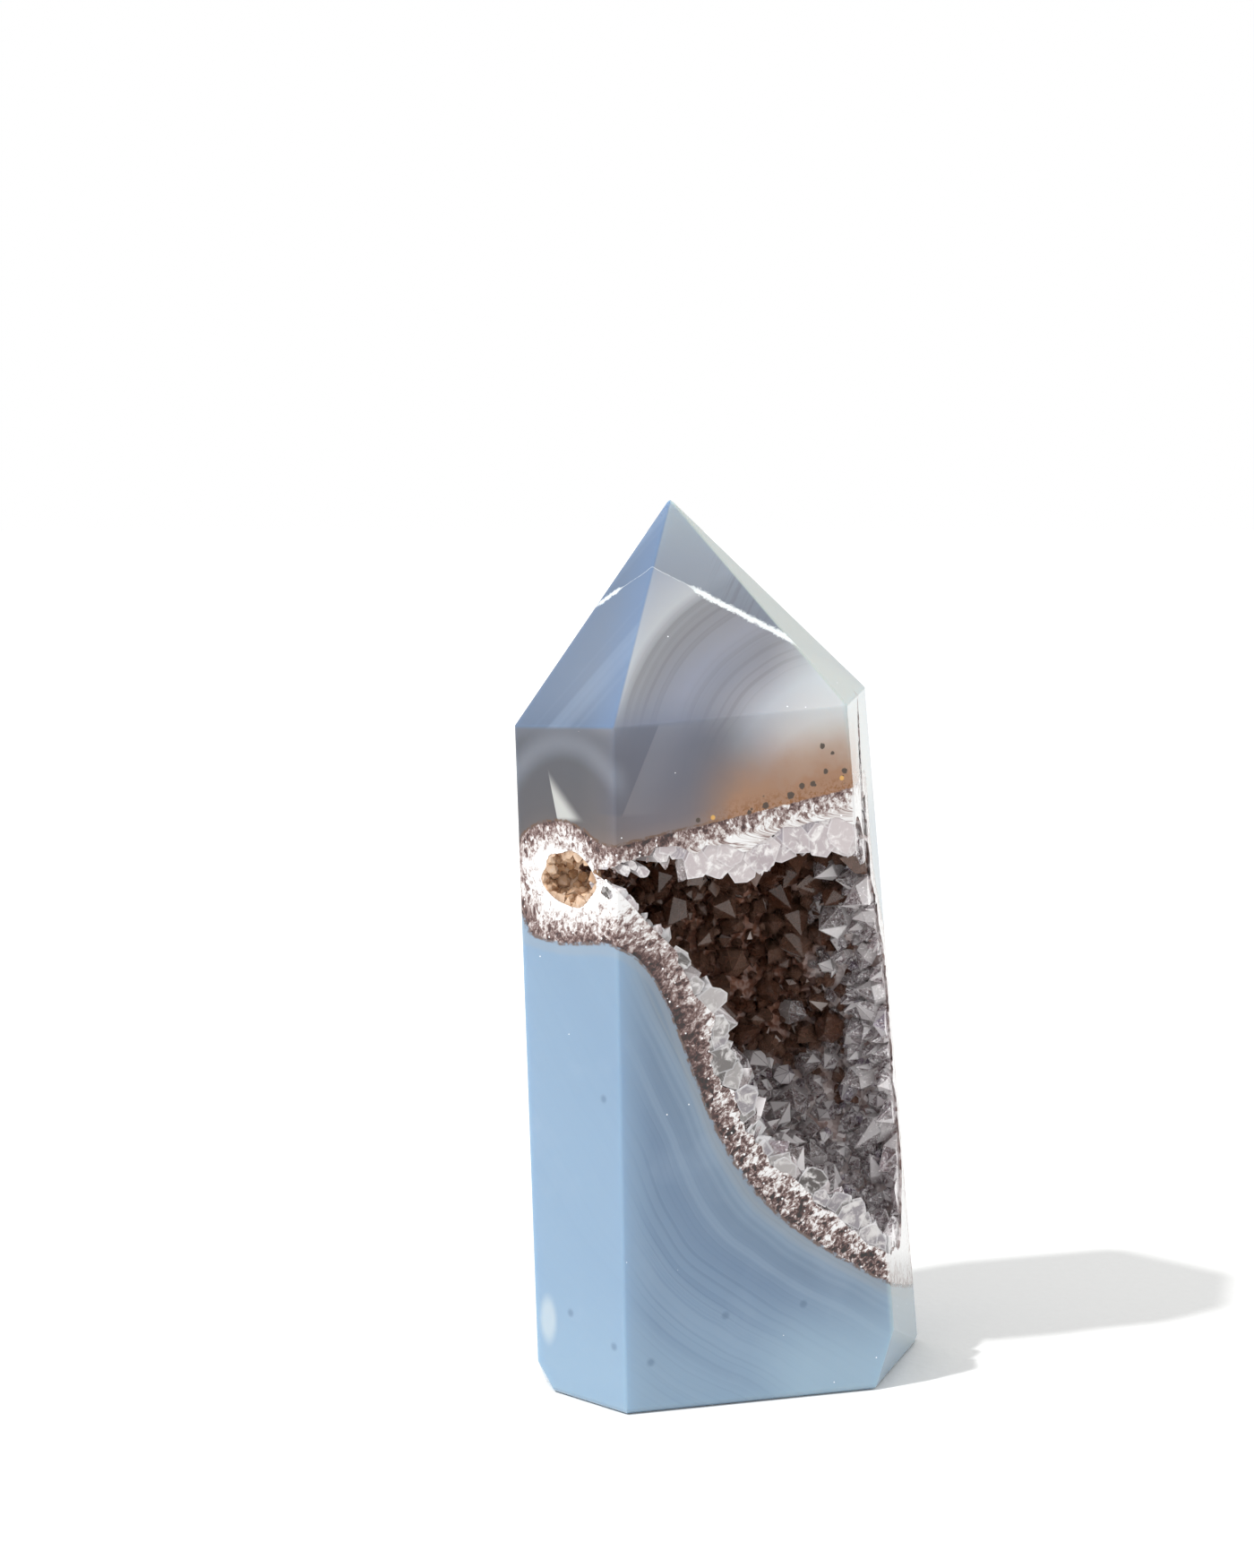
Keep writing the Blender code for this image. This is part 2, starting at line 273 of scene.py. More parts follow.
def round_edges(shape, radius, base_radius, flats):
    """Rounds every edge by flats that touch a circle laid in it: each flat's way is a mean of the
    two facets' ways, and the circle's centre lies inwards from the edge by the radius over the
    cosine of half their angle.
    """
    cuts = []
    for edge in shape.edges:
        first, second = (np.array(face.normal) for face in edge.link_faces)
        middle = sum(np.array(vertex.co) for vertex in edge.verts) / 2
        size = base_radius if max(vertex.co.z for vertex in edge.verts) < radius * 0.1 else radius
        centre = middle - (first + second) * size / (1 + first @ second)
        for share in (np.arange(flats) + 1) / (flats + 1):
            way = unit(first * (1 - share) + second * share)
            cuts.append((centre + way * size, way))
    for point, way in cuts:
        grind(shape, point, way)
    bmesh.ops.remove_doubles(shape, verts=shape.verts, dist=SLIVER * MM)


def block_rings():
    """The block before its point is ground: each base corner, carried up its edge past the tip."""
    top = CORNERS + EDGE_WAYS * (HEIGHT * 1.1 / EDGE_WAYS[:, 2:])
    return np.stack((CORNERS, top))


def facet_cuts():
    """A point and the way of each cut that grinds the stone's point and its two base corners."""
    cuts = [(APEX, way) for way in TIP_WAYS]
    for side, azimuth, lean, depth in GROUND_CORNERS:
        way = direction(azimuth, lean)
        cuts.append((CORNERS[side] - way * depth, way))
    return cuts


def pocket_rings(facet, across, up, sizes, turn, lump, seed, steps=48):
    """A small hollow's rings: an ellipsoid centred on a facet, its reach waved by smooth lumps.

    A place is the facet's place plus the sizes times the cosines and sines of a polar angle, from
    outside the facet inwards, and of an angle round the facet's inward way.
    """
    polar = np.linspace(0, np.pi, steps // 2)[:, None]
    around = np.linspace(0, 2 * np.pi, steps, endpoint=False)
    turn = np.radians(turn)
    wide, high, deep = sizes
    level, rise = wide * np.sin(polar) * np.cos(around), high * np.sin(polar) * np.sin(around)
    place = facet.place(
        across + level * np.cos(turn) - rise * np.sin(turn),
        up + level * np.sin(turn) + rise * np.cos(turn),
        -deep * np.cos(polar) + 0 * around,
    )
    middle = facet.place(across, up)
    wave = 1 + lump * lumps(place, min(wide, high) * 0.9, seed)[..., None] * np.sin(polar)[..., None]
    return middle + (place - middle) * wave


def opening_spread(angle, share, spread):
    """The spread that opens the stone: more near the front facet where the rim's crystals are wide."""
    near = smooth_step(1 - share * HOLLOW_DEPTH / RIM_DEPTH)
    return spread + np.interp(angle, *RIM_OPENING.T) * near


def hollow_rings(spread, steps, rings):
    """The large hollow's rings, from outside the front facet to the deepest place, with lumps."""
    angle = np.linspace(0, 360, steps, endpoint=False)[None]
    share = np.concatenate(((-LEAD / HOLLOW_DEPTH,), np.linspace(0, 1, rings)))[:, None]
    angle, share = np.broadcast_arrays(angle, share)
    place = hollow_wall(angle, share, opening_spread(angle, share, spread))
    wave = 0.45 * lumps(place, 5.0, 3) + 0.3 * lumps(place, 1.9, 4)
    deep = np.minimum(1.0, (1 - share) * 6)[..., None]
    return kept_from_back(place + unit(place - HEART) * wave[..., None] * deep)


# Small hollows on the side facets: the facet, the place across and up it, the half width, half
# height and depth, how far it is turned, in degrees, and how lumpy its wall is.
POCKETS = (
    (LEFT_FACET, 8.6, 58.6, (4.3, 3.0, 4.2), 0.0, 0.16),
    (LEFT_FACET, 2.7, 57.7, (0.9, 0.6, 1.0), 20.0, 0.2),
    (RIGHT_FACET, 5.0, 70.0, (0.8, 7.5, 1.6), -11.0, 0.25),
    (RIGHT_FACET, 5.6, 63.5, (1.5, 4.0, 2.2), -8.0, 0.2),
)


def finish_mesh(piece, helpers=()):
    """Applies a piece's modifiers, drops their helpers and keeps the faces flat."""
    bpy.context.view_layer.update()
    shown = piece.evaluated_get(bpy.context.evaluated_depsgraph_get())
    mesh = bpy.data.meshes.new_from_object(shown)
    old = piece.data
    piece.modifiers.clear()
    piece.data = mesh
    mesh.name = piece.name
    bpy.data.meshes.remove(old)
    for helper in helpers:
        bpy.data.meshes.remove(helper.data)
    return piece


def make_stone(settings, bed):
    """The polished stone: the block ground to its facets, its edges rounded, its hollows open."""
    stone = surface("polished_stone", block_rings())
    shape = bmesh.new()
    shape.from_mesh(stone.data)
    bmesh.ops.dissolve_limit(shape, angle_limit=0.001, verts=shape.verts, edges=shape.edges)
    for point, way in facet_cuts():
        grind(shape, point * MM, way)
    round_edges(shape, settings.edge_radius, settings.base_radius, settings.edge_flats)
    shape.to_mesh(stone.data)
    shape.free()
    helpers = [surface("hollow_cutter", hollow_rings(settings.bed_depth / MM, 360, 64))]
    for number, (facet, across, up, sizes, turn, lump) in enumerate(POCKETS):
        helpers.append(surface("pocket_cutter", pocket_rings(facet, across, up, sizes, turn, lump, number)))
    for helper in helpers:
        helper.data.materials.append(bed)
        cut = stone.modifiers.new("hollow", "BOOLEAN")
        cut.operation = "DIFFERENCE"
        cut.solver = "MANIFOLD"
        cut.material_mode = "TRANSFER"
        cut.object = helper
    return stone, helpers


def scatter(places, ways, spacing, draw):
    """Picks places at random that stand at least a spacing apart.

    It goes through the places in random order and keeps each one that is far enough from all kept.
    """
    kept = np.zeros((0, 3))
    picked = []
    for number in draw.permutation(len(places)):
        place = places[number]
        if (np.sum((kept - place) ** 2, 1) > spacing ** 2).all():
            kept = np.append(kept, place[None], 0)
            picked.append(number)
    return places[picked], ways[picked]


def wall_samples(count, low, high, spread, draw):
    """Random places on the hollow's wall, even over its area, and the way that the wall faces.

    The wall's way is the cross product of its two slopes, turned towards the hollow's heart.
    """
    angle, share = draw.uniform(0, 360, count * 4), draw.uniform(low, high, count * 4)
    step = 0.2
    place = hollow_wall(angle, share, spread)
    along = hollow_wall(angle + step, share, spread) - place
    inward = hollow_wall(angle, share + step * 0.02, spread) - place
    ways = np.cross(along, inward)
    area = np.linalg.norm(ways, axis=1)
    keep = draw.uniform(0, area.max(), len(area)) < area
    place, ways = place[keep], unit(ways[keep])
    ways *= np.sign(((HEART - place) * ways).sum(1))[:, None]
    return place[:count], ways[:count]


def inside_by(places):
    """How far places lie inside the nearest of the three open side facets."""
    gaps = [SIDE_OFFSETS[side] - places @ SIDE_WAYS[side] for side in (FRONT, RIGHT, LEFT)]
    return np.min(gaps, 0)


def tilt(ways, degrees, draw):
    """The ways, each leaned towards a random side by up to that many degrees."""
    aside = unit(np.cross(ways, draw.normal(size=ways.shape)))
    lean = np.radians(draw.uniform(0, degrees, (len(ways), 1)))
    return ways * np.cos(lean) + aside * np.sin(lean)


# The share of a point's face that its border takes up.
FACE_BORDER = 0.16


def quartz_points(name, roots, ways, radii, lengths, draw, shoulder=0.5, lit=None):
    """Six-sided crystals as one mesh: a prism from each root along its way, and a point on it.

    A corner goes round the way at sixths of a turn, its reach and shoulder a little uneven, which
    keeps every face flat: prism faces stand straight, and point faces have three corners. Each
    crystal has its own tone, and its height goes from 0 at the root to 1 at the tip. Where lit is
    given, each point face gets a border, and that share of the faces inside the borders is lit.
    """
    count = len(roots)
    turn = draw.uniform(0, np.pi / 3, (count, 1)) + np.arange(6) * np.pi / 3
    turn = turn + draw.normal(0, 0.07, (count, 6))
    side = unit(np.cross(ways, (0.31, 0.52, 0.79)))
    other = np.cross(ways, side)
    reach = radii[:, None] * draw.uniform(0.82, 1.15, (count, 6))
    ring = (np.cos(turn) * reach)[..., None] * side[:, None]
    ring = ring + (np.sin(turn) * reach)[..., None] * other[:, None]
    height = (lengths * shoulder)[:, None] * draw.uniform(0.62, 1.25, (count, 6))
    foot = roots[:, None] + ring
    neck = foot + ways[:, None] * height[..., None]
    off = draw.normal(0, 0.24, (count, 2)) * radii[:, None]
    tip = roots + ways * lengths[:, None] + side * off[:, :1] + other * off[:, 1:]
    corner = np.arange(6)
    after = np.roll(corner, -1)
    places = [foot, neck, tip[:, None]]
    quads = np.stack((corner, after, after + 6, corner + 6), 1)
    points = np.stack((corner + 6, after + 6, np.full(6, 12)), 1)
    if lit is not None:
        faces = np.concatenate(places, 1)[:, points]
        middle = faces.mean(2, keepdims=True)
        places.append((middle + (faces - middle) * (1 - FACE_BORDER)).reshape(count, 18, 3))
        inner = np.arange(13, 31).reshape(6, 3)
        following = np.roll(inner, -1, 1)
        border = np.stack((points, np.roll(points, -1, 1), following, inner), -1).reshape(-1, 4)
        quads, points = np.concatenate((quads, border)), inner
    places = np.concatenate(places, 1)
    each = places.shape[1]
    start = (np.arange(count) * each)[:, None, None]
    faces = []
    for part in (corner[None, ::-1], quads, points):
        faces += (start + part).reshape(-1, part.shape[1]).tolist()
    made = mesh_of(name, places, faces)
    share = np.repeat((0.0, shoulder, 1.0), (6, 6, 1))
    if lit is not None:
        share = np.concatenate((share, np.tile((shoulder, shoulder, 1.0), 6)))
        # The outline marks each face's border, where the materials paint edge highlights.
        add_values(made, "outline", np.tile(np.arange(each) < 13, count))
        shown = np.zeros((count, each))
        shown[:, 13:] = np.repeat(draw.uniform(0, 1, (count, 6)) < lit, 3, 1)
        add_values(made, "glint", shown.ravel())
    add_values(made, "tone", np.repeat(draw.uniform(0, 1, count), each))
    add_values(made, "height", np.tile(share, count))
    return made


def add_values(piece, name, values):
    """Gives each corner of a piece's mesh its own value."""
    layer = piece.data.attributes.new(name, "FLOAT", "POINT")
    layer.data.foreach_set("value", np.asarray(values, dtype=np.float32))


# Ground faces smaller than this, in square mm, get no inner face.
SMALL_FACE = 0.7


def grind_flush(piece, sides, gap, border=0.0):
    """Grinds a piece's crystals off a little inside the side facets.

    Where a border is given, each ground face gets an inner face, whose outline value is 0.
    """
    shape = bmesh.new()
    shape.from_mesh(piece.data)
    for side in sides:
        way = SIDE_WAYS[side]
        grind(shape, way * (SIDE_OFFSETS[side] - gap) * MM, way)
    if border:
        ways = [Vector(SIDE_WAYS[side]) for side in sides]
        flat = [
            face for face in shape.faces
            if max(face.normal.dot(way) for way in ways) > 0.99999 and face.calc_area() > SMALL_FACE * MM * MM
        ]
        outer = {vertex for face in flat for vertex in face.verts}
        bmesh.ops.inset_individual(shape, faces=flat, thickness=border * MM, use_even_offset=False)
        layer = shape.verts.layers.float["outline"]
        for face in flat:
            for vertex in face.verts:
                if vertex not in outer:
                    vertex[layer] = 0.0
    shape.to_mesh(piece.data)
    shape.free()


class Value:
    """A number in a shader. An expression on values adds its Math nodes."""

    def __init__(self, graph, socket):
        self.graph, self.socket = graph, socket

    def __add__(self, other):
        return self.graph.maths("ADD", self, other)

    def __sub__(self, other):
        return self.graph.maths("SUBTRACT", self, other)

    def __rsub__(self, other):
        return self.graph.maths("SUBTRACT", other, self)

    def __mul__(self, other):
        return self.graph.maths("MULTIPLY", self, other)

    def __truediv__(self, other):
        return self.graph.maths("DIVIDE", self, other)

    def __rtruediv__(self, other):
        return self.graph.maths("DIVIDE", other, self)

    def __pow__(self, power):
        return self.graph.maths("POWER", self, power)

    def __neg__(self):
        return self.graph.maths("MULTIPLY", self, -1.0)

    def __abs__(self):
        return self.graph.maths("ABSOLUTE", self)

    __radd__, __rmul__ = __add__, __mul__


class Graph:
    """A material's nodes, with the place on the piece in mm."""

    def __init__(self, name):
        self.material = bpy.data.materials.new(name)
        self.material.use_nodes = True
        self.tree = self.material.node_tree
        self.shader = self.tree.nodes["Principled BSDF"]
        place = self.node("ShaderNodeTexCoord").outputs["Object"]
        self.place = self.vector("SCALE", place, scale=1 / MM)

    def node(self, kind, settings=None, inputs=None):
        """A node of a kind: its settings are set first, then its sockets' values or links."""
        made = self.tree.nodes.new(kind)
        for name, setting in (settings or {}).items():
            if name == "stops":
                self.set_stops(made.color_ramp, setting)
            else:
                setattr(made, name, setting)
        self.feed(made, inputs or {})
        return made

    def feed(self, node, inputs):
        """Sets or links a node's sockets."""
        for name, given in inputs.items():
            given = given.socket if isinstance(given, Value) else given
            if isinstance(given, bpy.types.NodeSocket):
                self.tree.links.new(given, node.inputs[name])
            elif given is not None:
                node.inputs[name].default_value = given

    def set_stops(self, ramp, stops):
        """Sets a ramp's stops, given as pairs of a position and a colour."""
        for _ in stops[2:]:
            ramp.elements.new(0.5)
        for element, (position, colour) in zip(ramp.elements, stops):
            element.position = position
            element.color = (*colour, 1.0)

    def maths(self, operation, *numbers, clamp=False):
        """A Math node's result."""
        settings = {"operation": operation, "use_clamp": clamp}
        return Value(self, self.node("ShaderNodeMath", settings, dict(enumerate(numbers))).outputs[0])

    def vector(self, operation, first, second=None, scale=None):
        """A Vector Math node's resulting vector."""
        inputs = {0: first, 1: second, "Scale": scale}
        return self.node("ShaderNodeVectorMath", {"operation": operation}, inputs).outputs["Vector"]

    def along(self, way, start=(0.0, 0.0, 0.0)):
        """How far the place lies along a way from a start, in mm."""
        made = self.node("ShaderNodeVectorMath", {"operation": "DOT_PRODUCT"}, {0: self.place, 1: tuple(way)})
        return Value(self, made.outputs["Value"]) - float(np.dot(way, start))

    def away(self, centre):
        """How far the place lies from a centre, in mm."""
        made = self.node("ShaderNodeVectorMath", {"operation": "DISTANCE"}, {0: self.place, 1: tuple(centre)})
        return Value(self, made.outputs["Value"])

    def nearest(self, centres, sizes=None):
        """How far the place lies from the nearest of some centres, each by its own size."""
        nearest = None
        for centre, size in zip(centres, sizes or [1.0] * len(centres)):
            gap = self.away(centre) / size
            nearest = gap if nearest is None else self.maths("MINIMUM", nearest, gap)
        return nearest

    def eased(self, value, low, high):
        """0 below low and 1 above high, eased between."""
        inputs = {"Value": value, "From Min": low, "From Max": high}
        made = self.node("ShaderNodeMapRange", {"interpolation_type": "SMOOTHSTEP"}, inputs)
        return Value(self, made.outputs["Result"])

    def within(self, value, low, high, soft):
        """1 between low and high, eased to 0 over a soft width outside them."""
        return self.eased(value, low - soft, low) * (1 - self.eased(value, high, high + soft))

    def mix(self, share, first, second, blend="MIX"):
        """A colour between two, or the first blended by the second."""
        settings = {"data_type": "RGBA", "blend_type": blend, "clamp_factor": True}
        first, second = (
            part if isinstance(part, bpy.types.NodeSocket) else (*part, 1.0) for part in (first, second)
        )
        return self.node("ShaderNodeMix", settings, {0: share, 6: first, 7: second}).outputs[2]

    def noise(self, size, detail=2.0, rough=0.5, bend=0.0, place=None):
        """Noise from 0 to 1 whose lumps are about a size wide, in mm."""
        inputs = {"Vector": place or self.place, "Scale": 1 / size, "Detail": detail,
                  "Roughness": rough, "Distortion": bend}
        return Value(self, self.node("ShaderNodeTexNoise", None, inputs).outputs[0])

    def stretched(self, way, share):
        """The place, drawn together along a way, so a pattern on it is stretched along that way."""
        way = tuple(way)
        along = self.along(way) * share
        return self.vector("SUBTRACT", self.place, self.vector("SCALE", way, scale=along))

    def lines(self, value, size, detail=3.0, rough=0.6):
        """Noise from 0 to 1 that changes only with a value, as bands about a size wide do."""
        inputs = {"W": value, "Scale": 1 / size, "Detail": detail, "Roughness": rough}
        return Value(self, self.node("ShaderNodeTexNoise", {"noise_dimensions": "1D"}, inputs).outputs[0])

    def cells(self, size, place=None):
        """Cells about a size wide, in mm: the distance in them, and each one's random colour."""
        inputs = {"Vector": place or self.place, "Scale": 1 / size}
        made = self.node("ShaderNodeTexVoronoi", None, inputs)
        return Value(self, made.outputs["Distance"]), made.outputs["Color"]

    def channel(self, colour, name="Red"):
        """One channel of a colour."""
        return Value(self, self.node("ShaderNodeSeparateColor", None, {"Color": colour}).outputs[name])

    def attribute(self, name):
        """A value that the mesh holds."""
        return Value(self, self.node("ShaderNodeAttribute", {"attribute_name": name}).outputs["Fac"])

    def ramp(self, value, low, high, stops):
        """A colour that goes through stops, whose positions lie between low and high."""
        share = (value - low) / (high - low)
        stops = [((position - low) / (high - low), colour) for position, colour in stops]
        return self.node("ShaderNodeValToRGB", {"stops": stops}, {0: share}).outputs["Color"]

    def bump(self, height, strength, normal=None):
        """A Bump node's normal from a height in mm."""
        inputs = {"Height": height, "Strength": strength, "Distance": MM, "Normal": normal}
        return self.node("ShaderNodeBump", None, inputs).outputs["Normal"]

    def principled(self, **sockets):
        """Sets or links the shader's own sockets, and gives the material."""
        self.feed(self.shader, {name.replace("_", " "): given for name, given in sockets.items()})
        return self.material

    def second_shader(self, share, **sockets):
        """Mixes in another Principled shader by a share."""
        sockets = {name.replace("_", " "): given for name, given in sockets.items()}
        other = self.node("ShaderNodeBsdfPrincipled", None, sockets)
        inputs = {0: share, 1: self.shader.outputs[0], 2: other.outputs[0]}
        mixed = self.node("ShaderNodeMixShader", None, inputs)
        self.tree.links.new(mixed.outputs[0], self.tree.nodes["Material Output"].inputs["Surface"])


FRONT_LIGHT = 1.22
GLOSS = 0.045


def paint(red, green, blue):
    """The base colour that shows as these screen levels on a polished facet in the front light."""
    shown = np.array((red, green, blue)) / 255
    light = np.where(shown <= 0.04045, shown / 12.92, ((shown + 0.055) / 1.055) ** 2.4)
    return tuple(np.clip((light - GLOSS) / FRONT_LIGHT, 0.0, 1.0).tolist())


def crust_distance(graph, across, up, depth):
    """How far a place lies outside the quartz crust round the hollows, in mm; under 0 in it.

    The crust's lower bound falls with the run across as one over one plus its power, less a slope.
    Its upper bound rises evenly, and its back bound comes forward near the top. The crust round the
    left pocket is an ellipsoid, joined on smoothly.
    """
    run = graph.maths("MAXIMUM", across + 1.0, 0.0)
    fall = (run / 10.0) ** 3.3
    lower = 28.21 + 23.954 / (fall + 1.0) - run * 0.5128
    steep = fall / ((fall + 1.0) ** 2.0) * 7.9 + 0.5128
    below = (lower - up) / ((steep * steep + 1.0) ** 0.5)
    above = up - across * 0.2 - 63.0
    behind = depth - 9.0 - (1 - graph.eased(up, 45.0, 60.0)) * 7.0
    wall = graph.maths("SMOOTH_MAX", graph.maths("SMOOTH_MAX", below, above, 2.5), behind, 3.0)
    centre = LEFT_FACET.place(10.0, 58.3)
    parts = (graph.along(LEFT_FACET.across, centre) / 8.0, graph.along(LEFT_FACET.up, centre) / 6.6,
             graph.along(LEFT_FACET.inward, centre) / 9.0)
    pocket = ((parts[0] ** 2.0 + parts[1] ** 2.0 + parts[2] ** 2.0) ** 0.5 - 1.0) * 6.6
    return graph.maths("SMOOTH_MIN", wall, pocket, 2.5)


# Dark round grains of oxide beside the crust on the front facet: across, up and radius.
GRAINS = (
    (13.1, 65.2, 0.52), (14.5, 66.0, 0.34), (19.3, 67.7, 0.5), (20.6, 68.7, 0.42), (21.9, 68.9, 0.4),
    (4.7, 62.9, 0.4), (8.6, 65.4, 0.36), (17.6, 66.3, 0.3), (16.4, 66.7, 0.48), (23.4, 70.2, 0.36),
    (3.8, 61.9, 0.3), (23.0, 73.0, 0.4), (24.2, 72.2, 0.28), (25.6, 70.2, 0.42), (26.5, 73.6, 0.3),
)
# Gold-coloured specks: across and up the front facet.
GOLD = ((10.3, 65.6), (25.3, 69.4), (-0.3, 52.8))
# Faint dark dots in the polish: the facet, and the place across and up it.
DOTS = (
    (FRONT_FACET, 2.9, 5.7), (FRONT_FACET, 20.8, 10.7), (FRONT_FACET, 11.6, 10.2),
    (LEFT_FACET, 1.8, 7.4), (LEFT_FACET, 8.6, 9.8), (LEFT_FACET, 3.3, 34.9),
)
# An old crack across the point: a place on it, and the way it faces.
CRACK_PLACE = (-5.11, -5.99, 88.62)
CRACK_WAY = (-0.186, -0.970, -0.156)
# The centre that the upper bands curve round: across and up the front facet, and behind it.
ARC_CENTRE = (25.5, 66.0, 2.0)


def agate_material(settings):
    """Banded translucent agate, with the crust's cut face where it reaches the facets."""
    graph = Graph("polished_agate")
    across, up, depth = (
        graph.along(way, FRONT_FACET.start) for way in (FRONT_FACET.across, FRONT_FACET.up, FRONT_FACET.inward)
    )
    crust = crust_distance(graph, across, up, depth)
    edge = crust + (graph.noise(0.9, 2.0) - 0.5) * 0.5
    wave = (graph.noise(16.0, 2.0) - 0.5) * 2.4
    blend = graph.eased(depth, 7.0, 22.0) * 9.0
    above = graph.eased(up - across * 0.2 + wave * 0.5, 57.0 - blend, 61.0 + blend)
    upper = upper_agate(graph, across, up, depth, crust, wave)
    colour = graph.mix(above, lower_agate(graph, across, up, crust, wave), upper)
    # Painted reflection: the right facet, seen at a grazing angle, is painted pale for the bright surroundings
    # that it mirrors.
    right = graph.along(SIDE_WAYS[RIGHT], SIDE_WAYS[RIGHT] * SIDE_OFFSETS[RIGHT])
    colour = graph.mix(graph.eased(right, -0.6, -0.1) * 0.45, colour, paint(182, 197, 198))
    inside = 1 - graph.eased(edge, -0.15, 0.05)
    colour, stain = crust_border(graph, colour, edge, across, above, depth)
    colour, feather = crack_line(graph, colour)
    colour = graph.mix(inside, colour, crust_colour(graph, crust, across, above))
    speck = 1 - graph.eased(graph.cells(3.4)[0], 0.018, 0.03)
    colour = graph.mix(speck, colour, (0.8, 0.82, 0.85))
    crisp = graph.maths("MAXIMUM", graph.maths("MAXIMUM", inside, stain), graph.maths("MAXIMUM", feather, speck))
    scratch = graph.bump(graph.noise(0.12, 2.0) * 0.001, 0.5)
    graph.principled(
        Base_Color=colour, Roughness=settings.polish, Normal=scratch, IOR=1.54,
        Subsurface_Weight=settings.depth_of_light, Subsurface_Radius=(0.55, 0.8, 1.0),
        Subsurface_Scale=settings.light_reach,
    )
    grain = graph.noise(0.3, 3.0)
    rough = settings.polish + inside * (0.05 + grain * 0.2)
    pits = graph.bump((grain - 0.5) * inside * 0.1, 0.4)
    graph.second_shader(crisp, Base_Color=colour, Roughness=rough, Normal=pits, IOR=1.54)
    return graph.material


def lower_agate(graph, across, up, crust, wave):
    """Bands under the crust. They follow a bound that falls steeply and then flattens: the smoothed
    greater of the distances from its two slanted lines.
    """
    steep = (across - 8.0) * -0.922 - (up - 37.8) * 0.387
    flat = (across - 20.0) * -0.535 - (up - 19.4) * 0.845
    band = graph.maths("SMOOTH_MAX", steep, flat, 9.0) - 1.0 + wave
    fine = graph.lines(band, 0.6, 4.0, 0.6)
    wide = graph.lines(band, 3.0, 2.0, 0.5)
    base = graph.ramp(band, 0.0, 40.0, (
        (0.0, paint(138, 152, 166)), (1.5, paint(126, 145, 166)), (6.5, paint(123, 144, 169)),
        (10.0, paint(132, 154, 178)), (17.0, paint(138, 161, 185)), (32.0, paint(148, 174, 197)),
    ))
    front = graph.eased(across, -1.0, 4.0)
    near = (1 - graph.eased(band, 10.0, 34.0)) * (front * 0.75 + 0.25)
    base = graph.mix(graph.eased(fine, 0.48, 0.68) * near * 0.3, base, paint(104, 124, 150))
    base = graph.mix(graph.eased(wide, 0.5, 0.72) * near * 0.45, base, paint(156, 176, 196))
    base = graph.mix((1 - graph.eased(wide, 0.3, 0.48)) * near * 0.35, base, paint(108, 130, 158))
    # Painted light: the left facet and the front facet's edge beside it are painted lighter, as the left facet
    # faces the sun more.
    base = graph.mix((1 - front) * 0.6, base, paint(154, 181, 206))
    cloud = graph.eased(graph.noise(7.0, 3.0), 0.5, 0.8)
    base = graph.mix(cloud * 0.2, base, paint(168, 186, 206))
    foot = (1 - graph.eased(up, 2.0, 15.0)) * (graph.eased(across, 12.0, 22.0) * 0.6 + 0.3)
    base = graph.mix(foot, base, paint(166, 190, 208))
    halo = graph.within(crust, 0.2, 0.9, 0.6)
    base = graph.mix(halo * 0.3, base, paint(166, 172, 176))
    left, level = (graph.along(way, LEFT_FACET.place(12.2, 8.3)) for way in (LEFT_FACET.across, LEFT_FACET.up))
    skin = 1 - graph.eased(graph.along(LEFT_FACET.inward, LEFT_FACET.start), 1.0, 3.0)
    spot = ((left / 1.5) ** 2.0 + (level / 3.0) ** 2.0) ** 0.5
    base = graph.mix((1 - graph.eased(spot, 0.45, 1.15)) * skin * 0.6, base, paint(206, 216, 220))
    dots = graph.nearest([facet.place(*place) for facet, *place in DOTS])
    return graph.mix((1 - graph.eased(dots, 0.15, 0.65)) * 0.45, base, paint(96, 116, 140))


